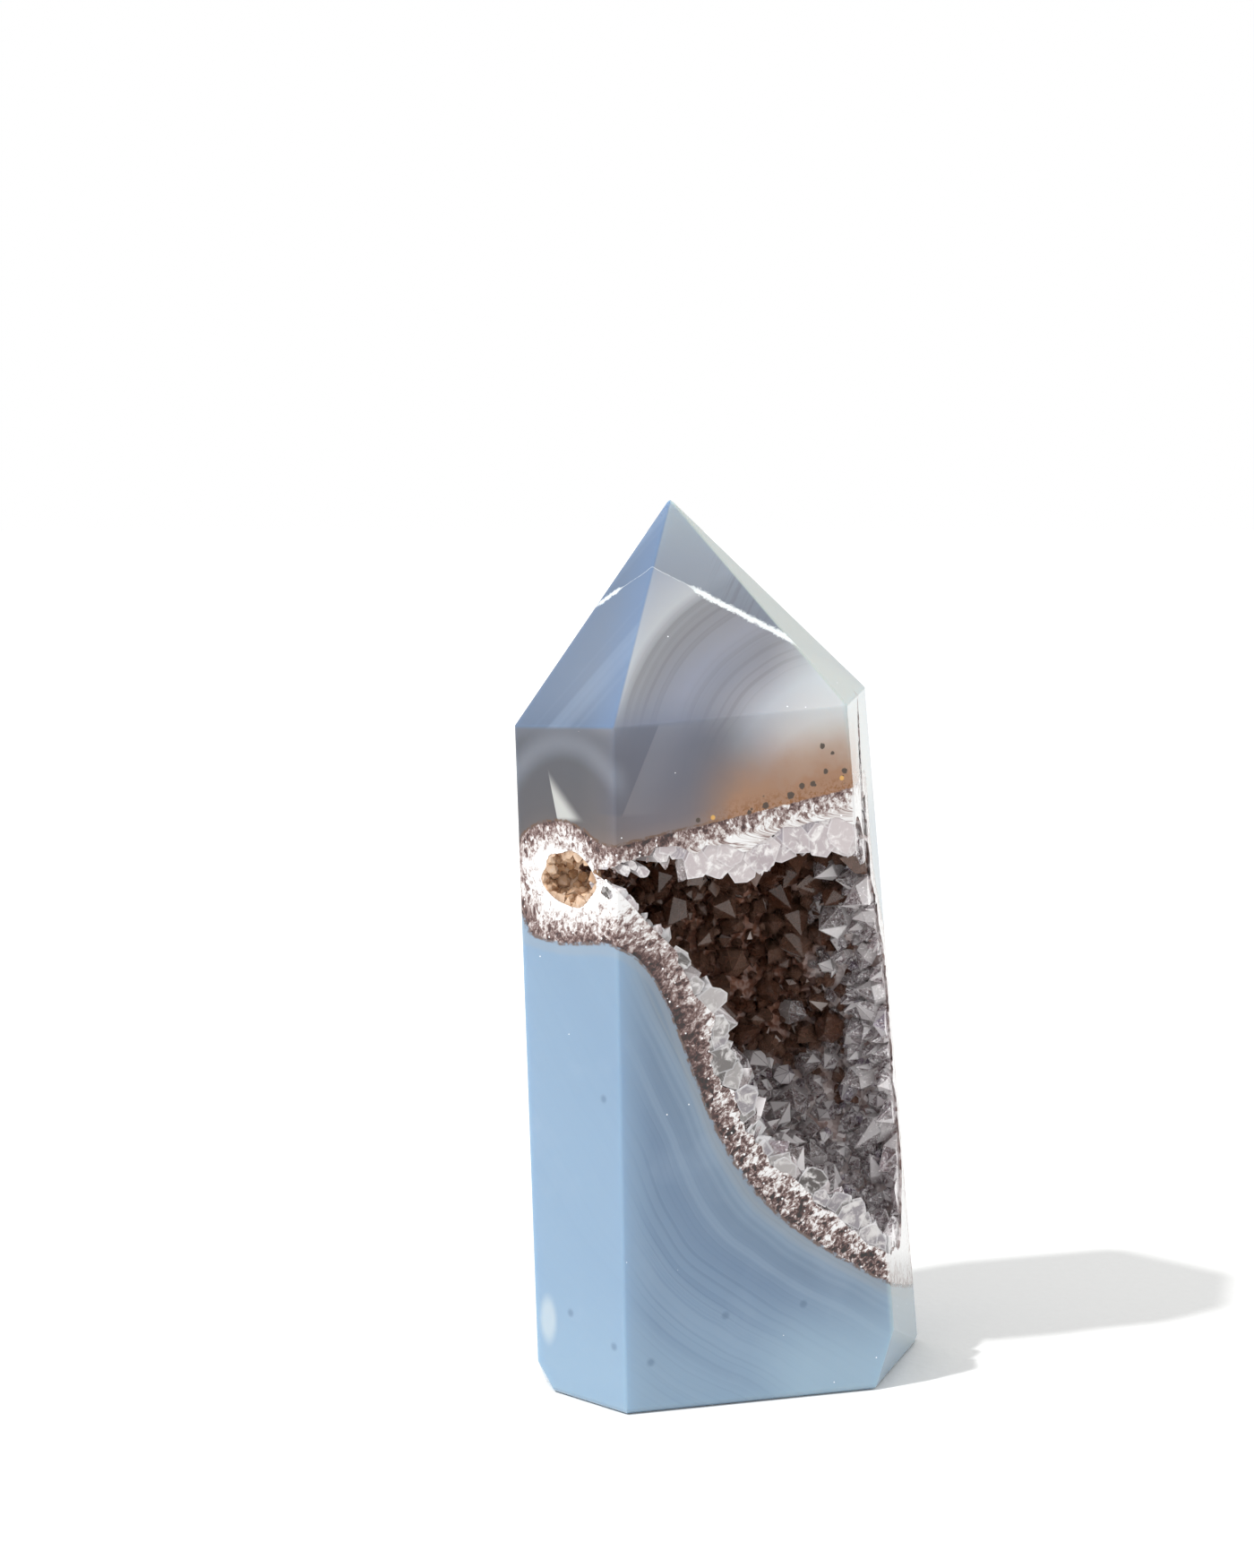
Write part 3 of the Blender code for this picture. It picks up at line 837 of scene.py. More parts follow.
def upper_agate(graph, across, up, depth, crust, wave):
    """Greyer agate above the crust: arcs round its right end, a pale cloud towards the right facet that becomes
    painted reflection on that facet, and a peach glow.
    """
    turn_across, turn_up, turn_depth = across - ARC_CENTRE[0], up - ARC_CENTRE[1], depth - ARC_CENTRE[2]
    reach = (turn_across ** 2.0 + turn_up ** 2.0 + turn_depth ** 2.0 * 0.6) ** 0.5
    ring = reach + wave * 0.4
    fine = graph.lines(ring, 0.7, 4.0, 0.6)
    base = graph.ramp(ring, 0.0, 40.0, (
        (4.0, paint(176, 142, 118)), (7.5, paint(184, 158, 140)), (10.5, paint(196, 190, 190)),
        (14.5, paint(182, 185, 192)), (17.2, paint(152, 152, 158)), (19.5, paint(142, 143, 149)),
        (22.0, paint(150, 152, 161)), (25.4, paint(141, 142, 147)), (27.2, paint(150, 152, 156)),
        (28.4, paint(184, 187, 191)), (34.0, paint(150, 158, 172)),
    ))
    stripes = graph.within(ring, 16.5, 20.5, 1.5) + graph.within(ring, 24.0, 27.2, 0.8)
    base = graph.mix(graph.eased(fine, 0.48, 0.62) * stripes * 0.25, base, paint(118, 116, 120))
    low_left = 1 - graph.eased(turn_across + turn_up * 0.62, -12.5, 0.0)
    blend = graph.eased(depth, 5.0, 20.0) * 10.0
    shoulder = 1 - graph.eased(up + wave * 0.5, 74.0 - blend, 80.0 + blend)
    grey = graph.ramp(crust, 0.0, 20.0, (
        (0.0, paint(136, 120, 112)), (1.6, paint(120, 110, 108)), (5.0, paint(112, 108, 112)),
        (9.0, paint(112, 112, 120)), (13.0, paint(124, 128, 140)), (20.0, paint(140, 148, 166)),
    ))
    base = graph.mix(low_left * shoulder * 0.95, base, grey)
    skin = 1 - graph.eased(graph.along(LEFT_FACET.inward, LEFT_FACET.start), 2.0, 8.0)
    leftmost = (1 - graph.eased(across, -4.0, 0.5)) * skin
    base = graph.mix(leftmost * (1 - graph.eased(up, 72.0, 79.0)) * 0.7, base, paint(88, 91, 97))
    base = crack_colours(graph, base, across)
    # Paler towards the right facet: on the right facet itself this is painted reflection of the bright
    # surroundings.
    pale = graph.eased(graph.along(SIDE_WAYS[RIGHT], SIDE_WAYS[RIGHT] * SIDE_OFFSETS[RIGHT]), -9.0, -1.5)
    base = graph.mix(pale * 0.5, base, paint(216, 222, 222))
    # Painted reflection: the right point facet is painted light grey for the bright surroundings that it
    # mirrors.
    right_tip_reflection = graph.eased(graph.along(TIP_WAYS[RIGHT], APEX), -0.22, -0.03)
    base = graph.mix(right_tip_reflection * 0.8, base, paint(188, 197, 190))
    base = left_lights(graph, base, up)
    return internal_veils(graph, base)


def crack_distance(graph):
    """How far the place lies in front of the old crack, and how far it lies above 80 mm."""
    crack = graph.along(CRACK_WAY, CRACK_PLACE) + (graph.noise(3.0, 3.0) - 0.5) * 0.5
    return crack, graph.along((0.0, 0.0, 1.0), (0.0, 0.0, 80.0))


def crack_colours(graph, base, across):
    """The point, darker behind its old crack."""
    crack, tip = crack_distance(graph)
    behind = (1 - graph.eased(crack, -0.06, 0.06)) * graph.eased(tip, 1.0, 4.5)
    rear = graph.ramp(tip, 0.0, 20.0, (
        (0.0, paint(114, 120, 131)), (7.0, paint(128, 135, 146)), (13.0, paint(146, 154, 165)),
        (19.0, paint(166, 176, 182)),
    ))
    lines = graph.lines(across * 0.75 + tip * -0.55, 0.9, 4.0, 0.6)
    shown = graph.eased(lines, 0.5, 0.64) * graph.eased(across, 12.0, 17.0)
    rear = graph.mix(shown * 0.4, rear, paint(114, 114, 124))
    return graph.mix(behind * 0.85, base, rear)


def crack_line(graph, base):
    """The white feathered line where the crack comes out on the facets, and how much of it shows."""
    crack, tip = crack_distance(graph)
    side = graph.along((1.0, 0.0, 0.0))
    wide = graph.within(side, -3.0, 6.8, 1.6) + graph.within(side, -14.0, -12.2, 0.8) * 0.8
    feather = graph.noise(0.45, 4.0, 0.8, 0.8)
    width = wide * 0.34 + 0.045
    near = 1 - graph.eased(abs(crack) / width + (feather - 0.5) * 2.4, 0.35, 1.1)
    line = near * graph.eased(tip, 1.0, 4.5) * (wide * 0.45 + 0.35)
    return graph.mix(line, base, (0.76, 0.8, 0.8)), line


def left_lights(graph, base, up):
    """Painted light along the long edge between the front and the left: blue light that gathers inside it, and
    painted highlight streaks across the darker left point facet.
    """
    way = TIP_WAYS[LEFT]
    side = graph.eased(graph.along(way, APEX), -0.25, -0.02)
    gap = graph.along(-TIP_WAYS[FRONT], APEX)
    glow = side * (1 - graph.eased(gap, 0.0, 4.5))
    base = graph.mix(side * 0.8, base, paint(108, 124, 147))
    base = graph.mix(glow * 0.5, base, paint(116, 141, 176))
    # Painted highlight: light diagonal streaks across the left point facet.
    highlight_streak = graph.lines(graph.along((0.74, 0.1, -0.66)), 3.0, 3.0, 0.6)
    base = graph.mix(graph.eased(highlight_streak, 0.5, 0.7) * side * 0.28, base, paint(160, 177, 199))
    edge = graph.along(LEFT_FACET.across, LEFT_FACET.start)
    under = graph.within(up, 66.0, 80.0, 6.0) * (1 - graph.eased(abs(edge + 1.0), 0.5, 4.5))
    return graph.mix(under * 0.15, base, paint(126, 142, 176))


def beside(graph, facet, first, last):
    """How far the place lies beside a line that is drawn between two places on a facet, in mm."""
    start = facet.place(*first)
    way = unit(facet.place(*last) - start)
    return graph.along(np.cross(facet.inward, way), start)


def internal_veils(graph, base):
    """Faint inner planes that show through the polish as lit or shaded shapes."""
    behind = graph.along(FRONT_FACET.inward, FRONT_FACET.start)
    shown = 1 - graph.eased(behind, 1.0, 3.5)
    line = beside(graph, FRONT_FACET, (4.0, 75.5), (-0.1, 66.0))
    level = graph.along(FRONT_FACET.up, FRONT_FACET.start)
    span = graph.within(level, 66.5, 75.5, 0.6) * shown
    left = graph.eased(line, -0.06, 0.06) * (1 - graph.eased(line, 1.0, 6.0))
    base = graph.mix(left * span * 0.4, base, paint(98, 100, 112))
    right = graph.eased(-line, -0.06, 0.06) * (1 - graph.eased(-line, 0.2, 5.0))
    base = graph.mix(right * span * 0.2, base, paint(156, 154, 158))
    upper = beside(graph, FRONT_FACET, (8.4, 78.1), (11.2, 78.0))
    lower = beside(graph, FRONT_FACET, (8.7, 76.3), (11.2, 78.0))
    front = beside(graph, FRONT_FACET, (8.4, 78.1), (8.7, 76.3))
    flake = graph.eased(-upper, -0.1, 0.1) * graph.eased(lower, -0.1, 0.1) * graph.eased(front, -0.1, 0.1)
    base = graph.mix(flake * shown * 0.8, base, paint(196, 204, 214))
    beneath = 1 - graph.eased(graph.along(LEFT_FACET.inward, LEFT_FACET.start), 0.5, 2.0)
    sharp = beside(graph, LEFT_FACET, (11.8, 70.4), (10.3, 65.0))
    soft = beside(graph, LEFT_FACET, (11.8, 70.4), (6.3, 65.3))
    floor = beside(graph, LEFT_FACET, (10.3, 65.0), (6.3, 65.3))
    sail = graph.eased(-sharp, -0.05, 0.05) * graph.eased(soft, -0.2, 1.4) * graph.eased(-floor, -0.4, 0.4)
    base = graph.mix(sail * beneath * 0.85, base, paint(206, 207, 204))
    arc = graph.away(LEFT_FACET.place(9.0, 64.0)) - 9.5
    veil = (1 - graph.eased(abs(arc), 0.0, 2.2)) * beneath * graph.eased(level, 66.0, 71.0)
    return graph.mix(veil * 0.4, base, paint(150, 156, 168))


def crust_border(graph, colour, edge, across, above, depth):
    """The brown line and the grains of oxide where the agate meets the crust, and where they are."""
    blot = graph.noise(1.0, 4.0, 0.7)
    line = graph.within(edge, -0.1, 0.12, 0.22) * graph.eased(blot, 0.35, 0.55) * 0.85
    colour = graph.mix(line, colour, paint(112, 88, 74))
    right = above * graph.eased(across, 7.0, 15.0) * (1 - graph.eased(depth, 1.5, 7.0))
    glow = (1 - graph.eased(edge, 0.5, 9.0)) * right
    colour = graph.mix(glow * (graph.noise(3.0, 3.0) + 0.6), colour, paint(168, 132, 108))
    speckle = graph.noise(0.5, 4.0, 0.8)
    rust = (1 - graph.eased(edge + blot * 2.0, 1.2, 3.4)) * right * graph.eased(speckle, 0.48, 0.58)
    colour = graph.mix(rust * 0.85, colour, paint(140, 94, 48))
    centres = [FRONT_FACET.place(*grain[:2]) for grain in GRAINS]
    near = graph.nearest(centres, [grain[2] for grain in GRAINS])
    near = near * 1.25 + (graph.noise(0.35, 2.0) - 0.5) * 0.9
    spot, tone = graph.cells(1.0)
    many = graph.within(edge, 0.1, 1.6, 0.3) * right * graph.eased(graph.channel(tone), 0.45, 0.5)
    near = graph.maths("MINIMUM", near, spot / 0.24 + (1 - many) * 4.0)
    grain = 1 - graph.eased(near, 0.8, 1.15)
    colour = graph.mix(grain * 0.95, colour, (0.035, 0.022, 0.014))
    colour = graph.mix((1 - graph.eased(near, 0.1, 0.5)) * 0.4, colour, paint(92, 74, 40))
    gold = graph.nearest([FRONT_FACET.place(*speck) for speck in GOLD])
    colour = graph.mix(1 - graph.eased(gold, 0.2, 0.32), colour, paint(224, 176, 104))
    return colour, graph.maths("MAXIMUM", graph.maths("MAXIMUM", grain, rust), line)


def crust_colour(graph, crust, across, above):
    """Quartz crust on a cut face: wine-brown grains at the agate, then white and lilac ones, with painted
    glints, and painted reflection on the right facet.
    """
    growth = unit(FRONT_FACET.across * 0.75 + FRONT_FACET.up * 0.66)
    place = graph.mix(above, graph.stretched(growth, 0.35), graph.stretched(FRONT_FACET.up, 0.2))
    fine = graph.noise(0.45, 3.0, 0.7, 0.6, place)
    middle = graph.noise(1.1, 3.0, 0.6, 0.6, place)
    coarse = graph.noise(2.2, 2.0, 0.5)
    tone = graph.cells(0.55, place)[1]
    chance, other = graph.channel(tone), graph.channel(tone, "Green")
    steep = (1 - above) * graph.within(across, 4.0, 8.0, 4.0)
    foot = (1 - above) * graph.eased(across, 8.0, 14.0)
    left = 1 - graph.eased(across, -3.0, 2.0)
    # On the right facet the crust is lifted towards white and its contrast lowered: painted reflection of the
    # bright surroundings at that grazing view.
    right = graph.eased(graph.along(SIDE_WAYS[RIGHT], SIDE_WAYS[RIGHT] * SIDE_OFFSETS[RIGHT]), -0.4, -0.1)
    lift = graph.maths("MAXIMUM", (graph.eased(across, 4.0, 16.0) * 1.3 + 0.1) * above, left * -0.4)
    lift = graph.maths("MAXIMUM", lift - foot * 0.3, right * 3.2) - steep * 1.2
    contrast = foot * (1 - right) * 0.6 + (1 - right * 0.4)
    depth = lift - crust + (coarse - 0.5) * 3.6
    grains = (fine - 0.5) * 3.0 + (middle - 0.5) * 1.2 + (chance - 0.5) * 0.6
    colour = graph.ramp(depth * (left * 0.12 + 0.2) + grains * contrast, -0.7, 1.2, (
        (-0.7, paint(56, 44, 46)), (-0.2, paint(84, 67, 66)), (0.15, paint(122, 100, 96)),
        (0.42, paint(164, 147, 144)), (0.7, paint(214, 206, 203)), (1.0, paint(242, 241, 241)),
    ))
    # Painted glints: small white spots on the crust's grains.
    spark = graph.cells(1.0)[0]
    bright = (1 - graph.eased(spark, 0.1, 0.15)) * graph.eased(other, 0.3, 0.4)
    return graph.mix(bright * 0.8, colour, (0.94, 0.94, 0.95))


def hollow_zones(graph):
    """How far a place is on the pale side of the hollow: low, right, or close to the facets."""
    right_hand = graph.along((1.0, 0.0, 0.0))
    up = graph.along(FRONT_FACET.up, FRONT_FACET.start)
    depth = graph.along(FRONT_FACET.inward, FRONT_FACET.start)
    drift = (graph.noise(3.0, 2.0) - 0.5) * 8.0
    right = graph.eased(right_hand + drift, 8.0, 16.0)
    low = 1 - graph.eased(up + right_hand * 0.5 + drift, 32.0, 42.0)
    rim = 1 - graph.eased(depth + drift * 0.3, 0.6, 2.6)
    return graph.maths("MAXIMUM", graph.maths("MAXIMUM", right, low), rim)


def bed_material():
    """The granular floor of the druse between its crystals: wine-brown, greyer low and right."""
    graph = Graph("druse_bed")
    spot, tone = graph.cells(0.9)
    chance = graph.channel(tone)
    brown = graph.mix(chance, (0.12, 0.045, 0.025), (0.24, 0.11, 0.07))
    pale = graph.mix(chance, (0.3, 0.2, 0.18), (0.92, 0.87, 0.87))
    colour = graph.mix(hollow_zones(graph), brown, pale)
    pocket = graph.away(LEFT_FACET.place(8.6, 58.6))
    warm = graph.mix(chance, (0.6, 0.38, 0.23), (0.9, 0.66, 0.47))
    colour = graph.mix(1 - graph.eased(pocket, 4.8, 5.2), colour, warm)
    return graph.principled(
        Base_Color=colour, Roughness=0.3, IOR=1.54,
        Normal=graph.bump(graph.maths("MINIMUM", spot, 0.6), 0.6),
    )


def milky_quartz(name, dark, light, clearness, border):
    """Milk-white quartz with darker hearts and outlines painted bright as edge highlights, full of small veils.
    """
    graph = Graph(name)
    tone, outline = graph.attribute("tone"), graph.attribute("outline")
    veil = graph.noise(1.3, 4.0, 0.65, 0.6)
    heart = graph.mix(tone, dark, light)
    heart = graph.mix(graph.eased(veil, 0.46, 0.66), heart, (0.94, 0.91, 0.9))
    grey = graph.eased(tone, 0.74, 0.76) * (1 - graph.eased(veil, 0.42, 0.6))
    heart = graph.mix(grey * 0.7, heart, (0.24, 0.21, 0.26))
    # Painted highlight: each point's outline is painted near white, for the light that its edges catch.
    colour = graph.mix(outline * border, heart, (0.95, 0.94, 0.96))
    return graph.principled(
        Base_Color=colour, Roughness=0.05 + veil * 0.2, IOR=1.54, Transmission_Weight=clearness,
        Normal=graph.bump(graph.noise(0.35, 3.0) * 0.1, 0.4),
    )


# Brown quartz: its darkest and lightest points, its veils, the painted shade at its roots and its lit faces.
BROWN_QUARTZ = (
    (0.6, 0.36, 0.2), (0.9, 0.68, 0.5), (0.9, 0.75, 0.62), (0.3, 0.16, 0.08), (0.95, 0.85, 0.75),
)


def lilac_quartz(name):
    """The upper rim's milky quartz."""
    return milky_quartz(name, (0.42, 0.36, 0.38), (0.76, 0.69, 0.69), 0.3, 0.4)


def veined_quartz(name):
    """The lower rim's quartz, clearer and greyer between its white veins."""
    return milky_quartz(name, (0.08, 0.065, 0.06), (0.8, 0.76, 0.75), 0.5, 0.75)


def clouded_quartz(name, colours, clearness, shade=0.0, flecks=0.0):
    """Cloudy quartz whose points each have their own depth of colour, with painted shade at their roots, borders
    painted pale as edge highlights and some lit faces.
    Its colours are the darkest and the lightest point's, and those of its veils, of the painted root shade,
    which also colours its brown flaws and the shade, and of its lit faces.
    The shade darkens the hollow's left half by that share, and flecks are how strongly white flecks, partly
    flaws and partly painted glints, and brown flaws show.
    """
    dark, light, veil_colour, shade_and_flaw_colour, lit_colour = colours
    graph = Graph(name)
    tone, height = graph.attribute("tone"), graph.attribute("height")
    veil = graph.noise(0.8, 4.0, 0.7, 1.0)
    flaw_and_glint = graph.noise(0.5, 4.0, 0.8, 1.2)
    colour = graph.mix(tone, dark, light)
    veiled = graph.eased(veil, 0.52, 0.66)
    violet = graph.eased(tone, 0.9, 0.92) * flecks
    colour = graph.mix(violet * 0.7, colour, (0.42, 0.27, 0.56))
    colour = graph.mix(veiled * 0.6, colour, veil_colour)
    # Painted shade: the points darken towards their roots, where they crowd on the bed.
    root_shade = (1 - height) ** 1.5 + (0.5 - veil) * 1.2
    colour = graph.mix(graph.eased(root_shade, 0.1, 1.0) * 0.7, colour, shade_and_flaw_colour)
    colour = graph.mix((1 - graph.eased(flaw_and_glint, 0.38, 0.47)) * flecks, colour, shade_and_flaw_colour)
    left = 1 - graph.eased(graph.along((1.0, 0.0, 0.0)), 9.0, 16.0)
    colour = graph.mix(left * shade, colour, shade_and_flaw_colour)
    graph.principled(
        Base_Color=colour, Roughness=0.03 + veiled * 0.1, IOR=1.544, Transmission_Weight=clearness,
        Normal=graph.bump(graph.noise(0.3, 2.0) * 0.02, 0.4),
    )
    # White flecks, partly flaws and partly painted glints, and painted edge highlights on the borders.
    white = graph.eased(flaw_and_glint, 0.53, 0.62) * flecks
    white = graph.maths("MAXIMUM", white, graph.attribute("outline") * flecks * 0.5)
    white = graph.maths("MAXIMUM", white * (1 - left * shade), graph.attribute("glint") * 0.6)
    graph.second_shader(white, Base_Color=(*lit_colour, 1.0), Roughness=0.2, IOR=1.544)
    return graph.material


def floor_material(colour):
    """A plain pale matt floor."""
    graph = Graph("pale_floor")
    grain = graph.noise(1.2, 4.0)
    shade = graph.mix(grain, tuple(part * 0.97 for part in colour), tuple(colour))
    return graph.principled(Base_Color=shade, Roughness=0.9, Normal=graph.bump(grain, 0.1))


OPEN_SIDES = (FRONT, RIGHT, LEFT)
UNDER_FACET = 0.04
# The rim's crystals grow in layers, each cut a step further under the facet than the one before.
RIM_LAYERS = 4
LAYER_STEP = 0.05


class StoneSettings(PropertyGroup):
    """The polished stone."""

    edge_radius: FloatProperty(
        name="Edge Radius", description="Rounding of the polished edges",
        default=0.00046, min=0.0, unit="LENGTH",
    )
    base_radius: FloatProperty(
        name="Base Radius", description="Rounding of the edges round the base",
        default=0.0008, min=0.0, unit="LENGTH",
    )
    edge_flats: IntProperty(
        name="Edge Flats", description="How many flats round each edge", default=3, min=1, max=6,
    )
    bed_depth: FloatProperty(
        name="Bed Depth", description="How far the druse's bed lies behind its points",
        default=0.0016, min=0.0, unit="LENGTH",
    )
    polish: FloatProperty(
        name="Polish", description="Roughness of the polished facets", default=0.06, min=0.0, max=1.0,
    )
    depth_of_light: FloatProperty(
        name="Translucence", description="How much of the light goes into the agate",
        default=0.6, min=0.0, max=1.0,
    )
    light_reach: FloatProperty(
        name="Light Reach", description="How far light spreads in the agate",
        default=0.004, min=0.0, unit="LENGTH",
    )


class DruseSettings(PropertyGroup):
    """The crystals."""

    seed: IntProperty(name="Seed", description="Which of the random growths is made", default=7, min=0)
    wall_spacing: FloatProperty(
        name="Wall Spacing", description="Distance between large crystals on the hollow's wall",
        default=0.0027, min=0.001, unit="LENGTH",
    )
    fill_spacing: FloatProperty(
        name="Fill Spacing", description="Distance between small crystals on the hollow's wall",
        default=0.0013, min=0.0005, unit="LENGTH",
    )
    fine_spacing: FloatProperty(
        name="Fine Spacing", description="Distance between the smallest crystals on the hollow's wall",
        default=0.0009, min=0.0003, unit="LENGTH",
    )
    rim_spacing: FloatProperty(
        name="Rim Spacing", description="Distance between the cut crystals of the rim",
        default=0.0028, min=0.001, unit="LENGTH",
    )
    pocket_spacing: FloatProperty(
        name="Pocket Spacing", description="Distance between crystals in the small hollows",
        default=0.0011, min=0.0003, unit="LENGTH",
    )
    amethyst: FloatVectorProperty(
        name="Amethyst", description="Colour of the darkest clear violet points", subtype="COLOR",
        default=(0.78, 0.67, 0.72), min=0.0, max=1.0,
    )
    amethyst_light: FloatVectorProperty(
        name="Light Amethyst", description="Colour of the lightest clear violet points", subtype="COLOR",
        default=(1.0, 0.94, 0.97), min=0.0, max=1.0,
    )
    smoke: FloatVectorProperty(
        name="Smoke", description="Colour of the darkest smoky points", subtype="COLOR",
        default=(0.2, 0.08, 0.045), min=0.0, max=1.0,
    )
    smoke_light: FloatVectorProperty(
        name="Light Smoke", description="Colour of the lightest smoky points", subtype="COLOR",
        default=(0.42, 0.24, 0.17), min=0.0, max=1.0,
    )


class StageSettings(PropertyGroup):
    """The floor, the light and the view."""

    floor: FloatVectorProperty(
        name="Floor", description="Colour of the floor", subtype="COLOR",
        default=(0.8, 0.8, 0.79), min=0.0, max=1.0,
    )
    sky: FloatProperty(name="Sky", description="Strength of the soft light all round", default=1.0, min=0.0)
    sun: FloatProperty(name="Sun", description="Strength of the sunlight", default=2.8, min=0.0)
    sun_azimuth: FloatProperty(
        name="Sun Direction", description="The side that sunlight comes from",
        default=math.radians(-147.7), subtype="ANGLE", unit="ROTATION",
    )
    sun_height: FloatProperty(
        name="Sun Height", description="The sun's height over the floor",
        default=math.radians(52.2), subtype="ANGLE", unit="ROTATION",
    )


def add_piece(piece, material=None):
    """Makes a piece part of the model."""
    if material:
        piece.data.materials.clear()
        piece.data.materials.append(material)
    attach(piece, "root")


def tapered_size(places):
    """How large crystals may grow: less in the narrow tongue at the hollow's left."""
    across = FRONT_FACET.within(places)[0]
    return 0.28 + 0.72 * smooth_step((across - 0.5) / 10.0)


class TOWER_OT_stone(Operator):
    """Makes the polished agate body with its hollows open"""

    bl_idname = "tower.stone"
    bl_label = "Polished Stone"

    def execute(self, context):
        settings = context.scene.tower_stone
        bed = bed_material()
        stone, helpers = make_stone(settings, bed)
        stone.data.materials.append(agate_material(settings))
        finish_mesh(stone, helpers)
        add_piece(stone)
        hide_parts(NODE)
        return {"FINISHED"}


class TOWER_OT_rim_points(Operator):
    """Makes the milky crystals round the hollow, cut off flush with the facets"""

    bl_idname = "tower.rim_points"
    bl_label = "Rim Points"

    def execute(self, context):
        settings = context.scene.tower_druse
        draw = np.random.default_rng(settings.seed)
        spacing = settings.rim_spacing / MM
        lilac, veined = lilac_quartz("milky_quartz"), veined_quartz("veined_quartz")
        rims = (("upper", self.cut_across, lilac), ("lower", self.cut_along, veined))
        for layer in range(RIM_LAYERS):
            gap = UNDER_FACET + layer * LAYER_STEP
            for kind, grow, material in rims:
                piece = grow(f"{kind}_rim_points_{layer + 1}", spacing, gap, draw)
                # All of a rim point is outline, painted as edge highlight, until its ground faces get inner
                # faces.
                add_values(piece, "outline", np.ones(len(piece.data.vertices)))
                grind_flush(piece, OPEN_SIDES, gap, 0.22)
                add_piece(piece, material)
        return {"FINISHED"}

    def cut_across(self, name, spacing, gap, draw):
        """The upper rim: points that face out of the front facet, so the facet cuts them across."""
        angle = draw.uniform(54, 142, 1500)
        place = hollow_wall(angle, 0.02, draw.uniform(0.3, 3.4, 1500))
        place = place[SIDE_OFFSETS[RIGHT] - place @ SIDE_WAYS[RIGHT] > 1.0]
        normal = np.broadcast_to(-FRONT_FACET.inward, place.shape)
        place, normal = scatter(place, normal, spacing * 1.35, draw)
        size = tapered_size(place)
        way = tilt(unit(normal + 0.35 * unit(HEART - place)), 24, draw)
        radius = spacing * draw.uniform(0.62, 0.8, len(place)) * size
        return quartz_points(name, place - way * 4.5, way, radius, np.full(len(place), 8.0), draw, 0.85)

    def cut_along(self, name, spacing, gap, draw):
        """The lower rim: points that lie along the front facet and aim into the hollow."""
        place, way = wall_samples(4000, -0.04, 0.1, 1.8, draw)
        across, up, _ = FRONT_FACET.within(place)
        low = (up < 57.5 - 0.1 * across) & (across < 34)
        place, way = place[low], way[low]
        place, way = scatter(place, way, spacing * 1.2, draw)
        size = tapered_size(place)
        aim = unit(way + 0.45 * FRONT_FACET.up + 0.1 * FRONT_FACET.across)
        radius = spacing * draw.uniform(0.42, 0.66, len(place)) * size
        length = (1.7 + draw.uniform(0.2, 1.8, len(place))) * size
        return quartz_points(name, place, tilt(aim, 20, draw), radius, length, draw, 0.6)


class TOWER_OT_druse(Operator):
    """Makes the points that line the large hollow, smoky inside and clearer low and right"""

    bl_idname = "tower.druse"
    bl_label = "Hollow Druse"

    def execute(self, context):
        settings = context.scene.tower_druse
        draw = np.random.default_rng(settings.seed + 1)
        place, way = wall_samples(20000, -0.05, 0.995, 1.5, draw)
        from_pocket = np.linalg.norm(place - LEFT_FACET.place(*POCKETS[0][1:3]), axis=1)
        inside = (inside_by(place) > -0.8) & (from_pocket > 6.0)
        place, way = place[inside], way[inside]
        # Each: the darkest and lightest points, veils, the painted root shade that also colours brown flaws, and
        # lit faces.
        smoke = (
            settings.smoke, settings.smoke_light, (0.4, 0.23, 0.17), (0.07, 0.025, 0.015), (0.62, 0.55, 0.52),
        )
        clear = (
            settings.amethyst, settings.amethyst_light, (0.97, 0.95, 0.95), (0.24, 0.13, 0.1), (1.0, 0.97, 0.98),
        )
        smoky = clouded_quartz("smoky_quartz", smoke, 0.7)
        violet = clouded_quartz("clear_amethyst", clear, 0.8, 0.4, 0.85)
        sizes = (settings.wall_spacing, settings.fill_spacing, settings.fine_spacing)
        for size_name, spacing in zip(("large", "small", "fine"), (size / MM for size in sizes)):
            places, ways = scatter(place, way, spacing, draw)
            pale = self.pale(places, draw)
            for kind, chosen, material, lit in (("smoky", ~pale, smoky, 0.04), ("violet", pale, violet, 0.28)):
                root, aim = places[chosen], tilt(ways[chosen], 38, draw)
                size = tapered_size(root)
                radius = spacing * draw.uniform(0.36, 0.78, len(root)) * size
                length = radius * draw.uniform(1.3, 2.3, len(root)) + 0.6 * size
                if size_name == "fine":
                    lit = None
                piece = quartz_points(
                    f"{size_name}_{kind}_points", root - aim * 0.4, aim, radius, length, draw, 0.5, lit
                )
                grind_flush(piece, OPEN_SIDES, UNDER_FACET + RIM_LAYERS * LAYER_STEP)
                add_piece(piece, material)
        return {"FINISHED"}

    def pale(self, places, draw):
        """Which places lie low or right, where the points are clear and violet."""
        _, up, depth = FRONT_FACET.within(places)
        right = places[:, 0] > 12.5 + draw.normal(0, 2.5, len(places))
        low = up + places[:, 0] * 0.5 < 37 + draw.normal(0, 2.0, len(places))
        return right | low | (depth < 1.5)


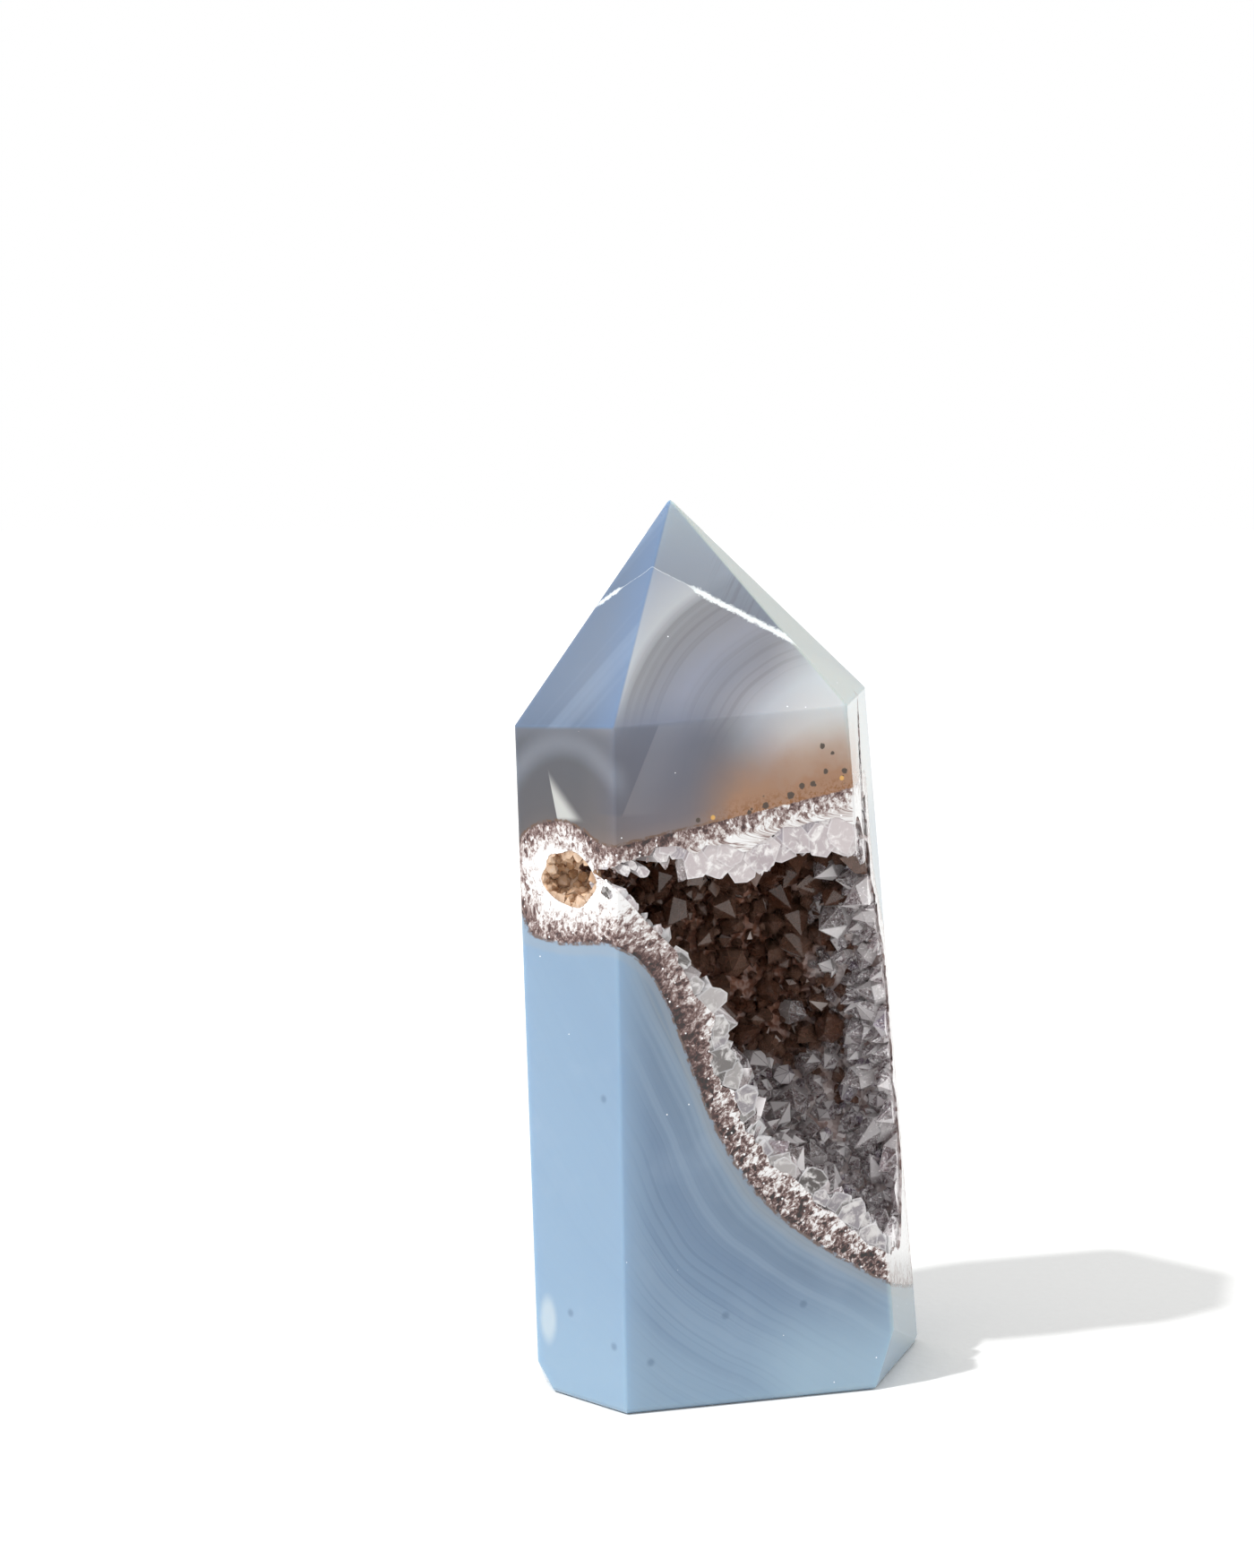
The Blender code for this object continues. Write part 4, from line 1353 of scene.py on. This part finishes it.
class TOWER_OT_pocket_points(Operator):
    """Makes the small points in the pockets of the left facet and the groove of the right one"""

    bl_idname = "tower.pocket_points"
    bl_label = "Pocket Points"

    def execute(self, context):
        settings = context.scene.tower_druse
        draw = np.random.default_rng(settings.seed + 2)
        brown = clouded_quartz("brown_quartz", BROWN_QUARTZ, 0.4)
        white = veined_quartz("groove_quartz")
        for number, (facet, across, up, sizes, turn, lump) in enumerate(POCKETS):
            rings = pocket_rings(facet, across, up, sizes, turn, lump, number, 96)
            middle = facet.place(across, up)
            place = rings.reshape(-1, 3)
            under_tip = TIP_OFFSETS[RIGHT] - place @ TIP_WAYS[RIGHT] > 1.5
            place = place[(inside_by(place) > -0.2) & under_tip & ~in_hollow(place, 2.5)]
            way = unit(middle + facet.inward * 0.3 - place)
            spacing = settings.pocket_spacing / MM
            place, way = scatter(place, way, spacing, draw)
            radius = spacing * draw.uniform(0.45, 0.75, len(place))
            length = radius * draw.uniform(1.4, 2.4, len(place))
            aim = tilt(way, 25, draw)
            piece = quartz_points(f"pocket_{number + 1}_points", place - aim * 0.3, aim, radius, length, draw)
            grind_flush(piece, OPEN_SIDES, UNDER_FACET)
            add_piece(piece, brown if number == 0 else white)
        return {"FINISHED"}


class TOWER_OT_stage(Operator):
    """Makes the floor, the light and the camera"""

    bl_idname = "tower.stage"
    bl_label = "Stage"

    def execute(self, context):
        settings = context.scene.tower_stage
        scene = context.scene
        reach = 3000.0
        corners = [(x * reach, y * reach, -0.02) for x, y in ((-1, -1), (1, -1), (1, 1), (-1, 1))]
        floor = mesh_of("floor", corners, [(0, 1, 2, 3)])
        floor.data.materials.append(floor_material(settings.floor))
        world = bpy.data.worlds.new("soft_sky")
        world.use_nodes = True
        sky = world.node_tree.nodes["Background"]
        sky.inputs["Color"].default_value = (1.0, 1.0, 1.0, 1.0)
        sky.inputs["Strength"].default_value = settings.sky
        scene.world = world
        sun = bpy.data.lights.new("sun", "SUN")
        sun.energy = settings.sun
        sun.angle = math.radians(3.0)
        lamp = bpy.data.objects.new("sun", sun)
        lamp.rotation_euler = (math.pi / 2 - settings.sun_height, 0, settings.sun_azimuth + math.pi / 2)
        scene.collection.objects.link(lamp)
        camera = bpy.data.cameras.new("camera")
        camera.sensor_fit = "VERTICAL"
        camera.sensor_height = SENSOR
        camera.lens = SENSOR * FOCAL_PIXELS / PHOTO_HEIGHT
        camera.clip_start, camera.clip_end = 0.01, 20.0
        eye = bpy.data.objects.new("camera", camera)
        eye.location = np.array(EYE) * MM
        eye.rotation_euler = (math.radians(90.0 - EYE_PITCH), 0, 0)
        scene.collection.objects.link(eye)
        scene.camera = eye
        scene.view_settings.view_transform = "Standard"
        return {"FINISHED"}


# The camera: its lens in pixels of the whole picture, where it stands and how far it looks down.
PHOTO_HEIGHT = 1750
FOCAL_PIXELS = 3379
SENSOR = 24.0
EYE = (-11.1, -342.1, 107.0)
EYE_PITCH = 6.6


OPERATORS = (TOWER_OT_stone, TOWER_OT_rim_points, TOWER_OT_druse, TOWER_OT_pocket_points, TOWER_OT_stage)
GROUPS = {"tower_stone": StoneSettings, "tower_druse": DruseSettings, "tower_stage": StageSettings}


class TOWER_PT_panel(Panel):
    """Lists the pieces and their settings"""

    bl_idname = "TOWER_PT_panel"
    bl_label = "Agate Tower"
    bl_space_type = "VIEW_3D"
    bl_region_type = "UI"
    bl_category = "Agate Tower"

    def draw(self, context):
        for operator in OPERATORS:
            self.layout.operator(operator.bl_idname)
        for name, group in GROUPS.items():
            box = self.layout.box()
            for setting in group.__annotations__:
                box.prop(getattr(context.scene, name), setting)


def register():
    for kind in (*GROUPS.values(), *OPERATORS, TOWER_PT_panel):
        bpy.utils.register_class(kind)
    for name, group in GROUPS.items():
        setattr(bpy.types.Scene, name, PointerProperty(type=group))


def unregister():
    for name in GROUPS:
        delattr(bpy.types.Scene, name)
    for kind in reversed((*GROUPS.values(), *OPERATORS, TOWER_PT_panel)):
        bpy.utils.unregister_class(kind)


def main():
    """Makes every piece and the stage."""
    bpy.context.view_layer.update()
    register()
    bpy.ops.tower.stone()
    bpy.ops.tower.rim_points()
    bpy.ops.tower.druse()
    bpy.ops.tower.pocket_points()
    bpy.ops.tower.stage()


if __name__ == "__main__":
    main()
